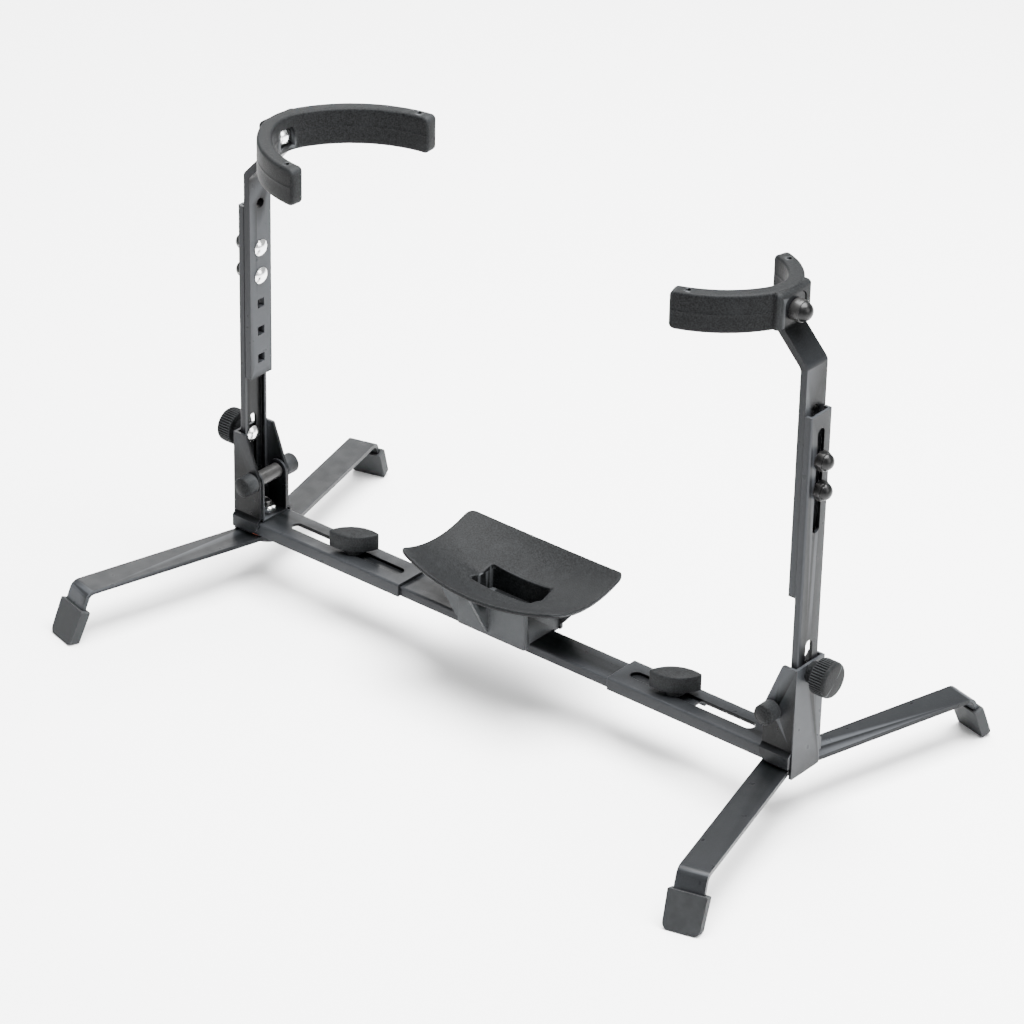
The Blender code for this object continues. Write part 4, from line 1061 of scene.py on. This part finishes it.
def hinge_pin(side):
    """Plain pin with chamfered ends."""
    node = f"hinge_pin_{side}"
    low, high = side_box(node, side)
    centre = (low + high) / 2.0
    length = high.y - low.y
    chamfer = 0.5 * MM
    tip = 2.5 * MM
    profile = [(tip, 0.0), (SHANK_RADIUS, chamfer)]
    profile += [(SHANK_RADIUS, length - chamfer), (tip, length)]
    pin = turned(f"{node}_fine", profile, (0, 1, 0), (centre.x, low.y, centre.z), 32)
    return settle(pin, side, node, f"bracket_{side}", "zinc_plate")


# ------------------------------------------------------------ kept CAD nodes

def keep(node, slot, edge, segments=2):
    """Show a CAD node with its finish, its seams welded and its sharp edges rounded."""
    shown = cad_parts[node]
    mesh = shown.data
    mesh.materials.clear()
    mesh.materials.append(FINISHES[slot])
    mesh.shade_smooth()
    if "custom_normal" in mesh.attributes:
        mesh.attributes.remove(mesh.attributes["custom_normal"])
    weld = shown.modifiers.new("seams", "WELD")
    weld.merge_threshold = WELD
    flatten = shown.modifiers.new("flats", "DECIMATE")
    flatten.decimate_type = "DISSOLVE"
    flatten.angle_limit = FLAT_ANGLE
    soften(shown, edge, segments)
    level = shown.modifiers.new("level_flats", "WEIGHTED_NORMAL")
    level.mode = "FACE_AREA"
    level.weight = FLAT_WEIGHT


def build():
    """Every piece of the stand."""
    keep("centre_rail", "coated_steel", SHEET_EDGE)
    saddle()
    saddle_screw()
    for side in SIDES:
        for node in ("end_rail", "hinge_ears", "post_bracket", "post", "upper_bar"):
            keep(f"{node}_{side}", "coated_steel", SHEET_EDGE)
        for place in ("front", "back"):
            keep(f"leg_{side}_{place}", "coated_steel", SHEET_EDGE)
            keep(f"foot_{side}_{place}", "foot_rubber", FOOT_EDGE, 3)
            pin_cap(side, place)
        cradle(side)
        rail_knob(side)
        post_knob(side)
        bar, rail_end = f"bar_{side}_body", f"rail_end_{side}"
        for place in ("upper", "lower"):
            carriage_bolt(f"bar_bolt_{side}_{place}", side, bar, square=True)
            cap_nut(f"bar_nut_{side}_{place}", side, bar)
        carriage_bolt(f"cradle_bolt_{side}", side, bar, square=False)
        cradle_nut(side)
        carriage_bolt(f"clamp_bolt_{side}", side, f"bracket_{side}", square=False)
        leg_bolt(side)
        plain_nut(f"leg_nut_{side}", side, rail_end, 6, "zinc_plate")
        plain_nut(f"rail_knob_nut_{side}", side, "base", 4, "zinc_plate")
        tube(f"fibre_washer_{side}", side, rail_end, 0.2 * MM, (0, 0, 1), "red_fibre")
        tube(f"hinge_sleeve_{side}", side, rail_end, 0.3 * MM, (0, 1, 0), "black_fasteners")
        hinge_pin(side)


# ------------------------------------------------------------------- stage

def camera():
    """Long lens from the front right, above."""
    a, e, roll = (math.radians(v) for v in (CAMERA_AZIMUTH, CAMERA_ELEVATION, CAMERA_ROLL))
    back = Vector((math.sin(a) * math.cos(e), -math.cos(a) * math.cos(e), math.sin(e)))
    level = Vector((math.cos(a), math.sin(a), 0.0))
    upright = back.cross(level)
    right = level * math.cos(roll) + upright * math.sin(roll)
    up = upright * math.cos(roll) - level * math.sin(roll)
    data = bpy.data.cameras.new("camera")
    data.lens = CAMERA_LENS
    data.sensor_width = SENSOR_WIDTH
    data.shift_x, data.shift_y = CAMERA_SHIFT
    data.clip_start, data.clip_end = CLIP
    eye = bpy.data.objects.new("camera", data)
    bpy.context.scene.collection.objects.link(eye)
    turn = Matrix((right, up, back)).transposed().to_4x4()
    eye.matrix_world = Matrix.Translation(CAMERA_PLACE) @ turn
    bpy.context.scene.camera = eye


def softbox(name, place, target, size, power):
    """A white square area light aimed at a point."""
    data = bpy.data.lights.new(name, "AREA")
    data.shape = "SQUARE"
    data.size = size
    data.energy = power
    lamp = bpy.data.objects.new(name, data)
    bpy.context.scene.collection.objects.link(lamp)
    lamp.location = place
    lamp.rotation_euler = (Vector(target) - Vector(place)).to_track_quat("-Z", "Y").to_euler()


def studio():
    """Pale floor, white surround and soft lights."""
    bpy.ops.mesh.primitive_plane_add(size=FLOOR_SIZE, location=(0.0, 0.0, -FLOOR_DROP))
    floor = bpy.context.object
    floor.name = "floor"
    made, tree, shader = new_material("floor", (0.92, 0.92, 0.92), 0.7)
    tone = mix(tree, noise(tree, 3.0, 2.0), (0.91, 0.91, 0.91), (0.93, 0.93, 0.93))
    tree.links.new(tone, shader.inputs["Base Color"])
    floor.data.materials.append(made)
    world = bpy.data.worlds.new("surround")
    world.use_nodes = True
    bpy.context.scene.world = world
    background = world.node_tree.nodes["Background"]
    background.inputs["Color"].default_value = (1.0, 1.0, 1.0, 1.0)
    background.inputs["Strength"].default_value = SURROUND_STRENGTH
    for light in LIGHTS:
        softbox(*light)


build()
camera()
studio()
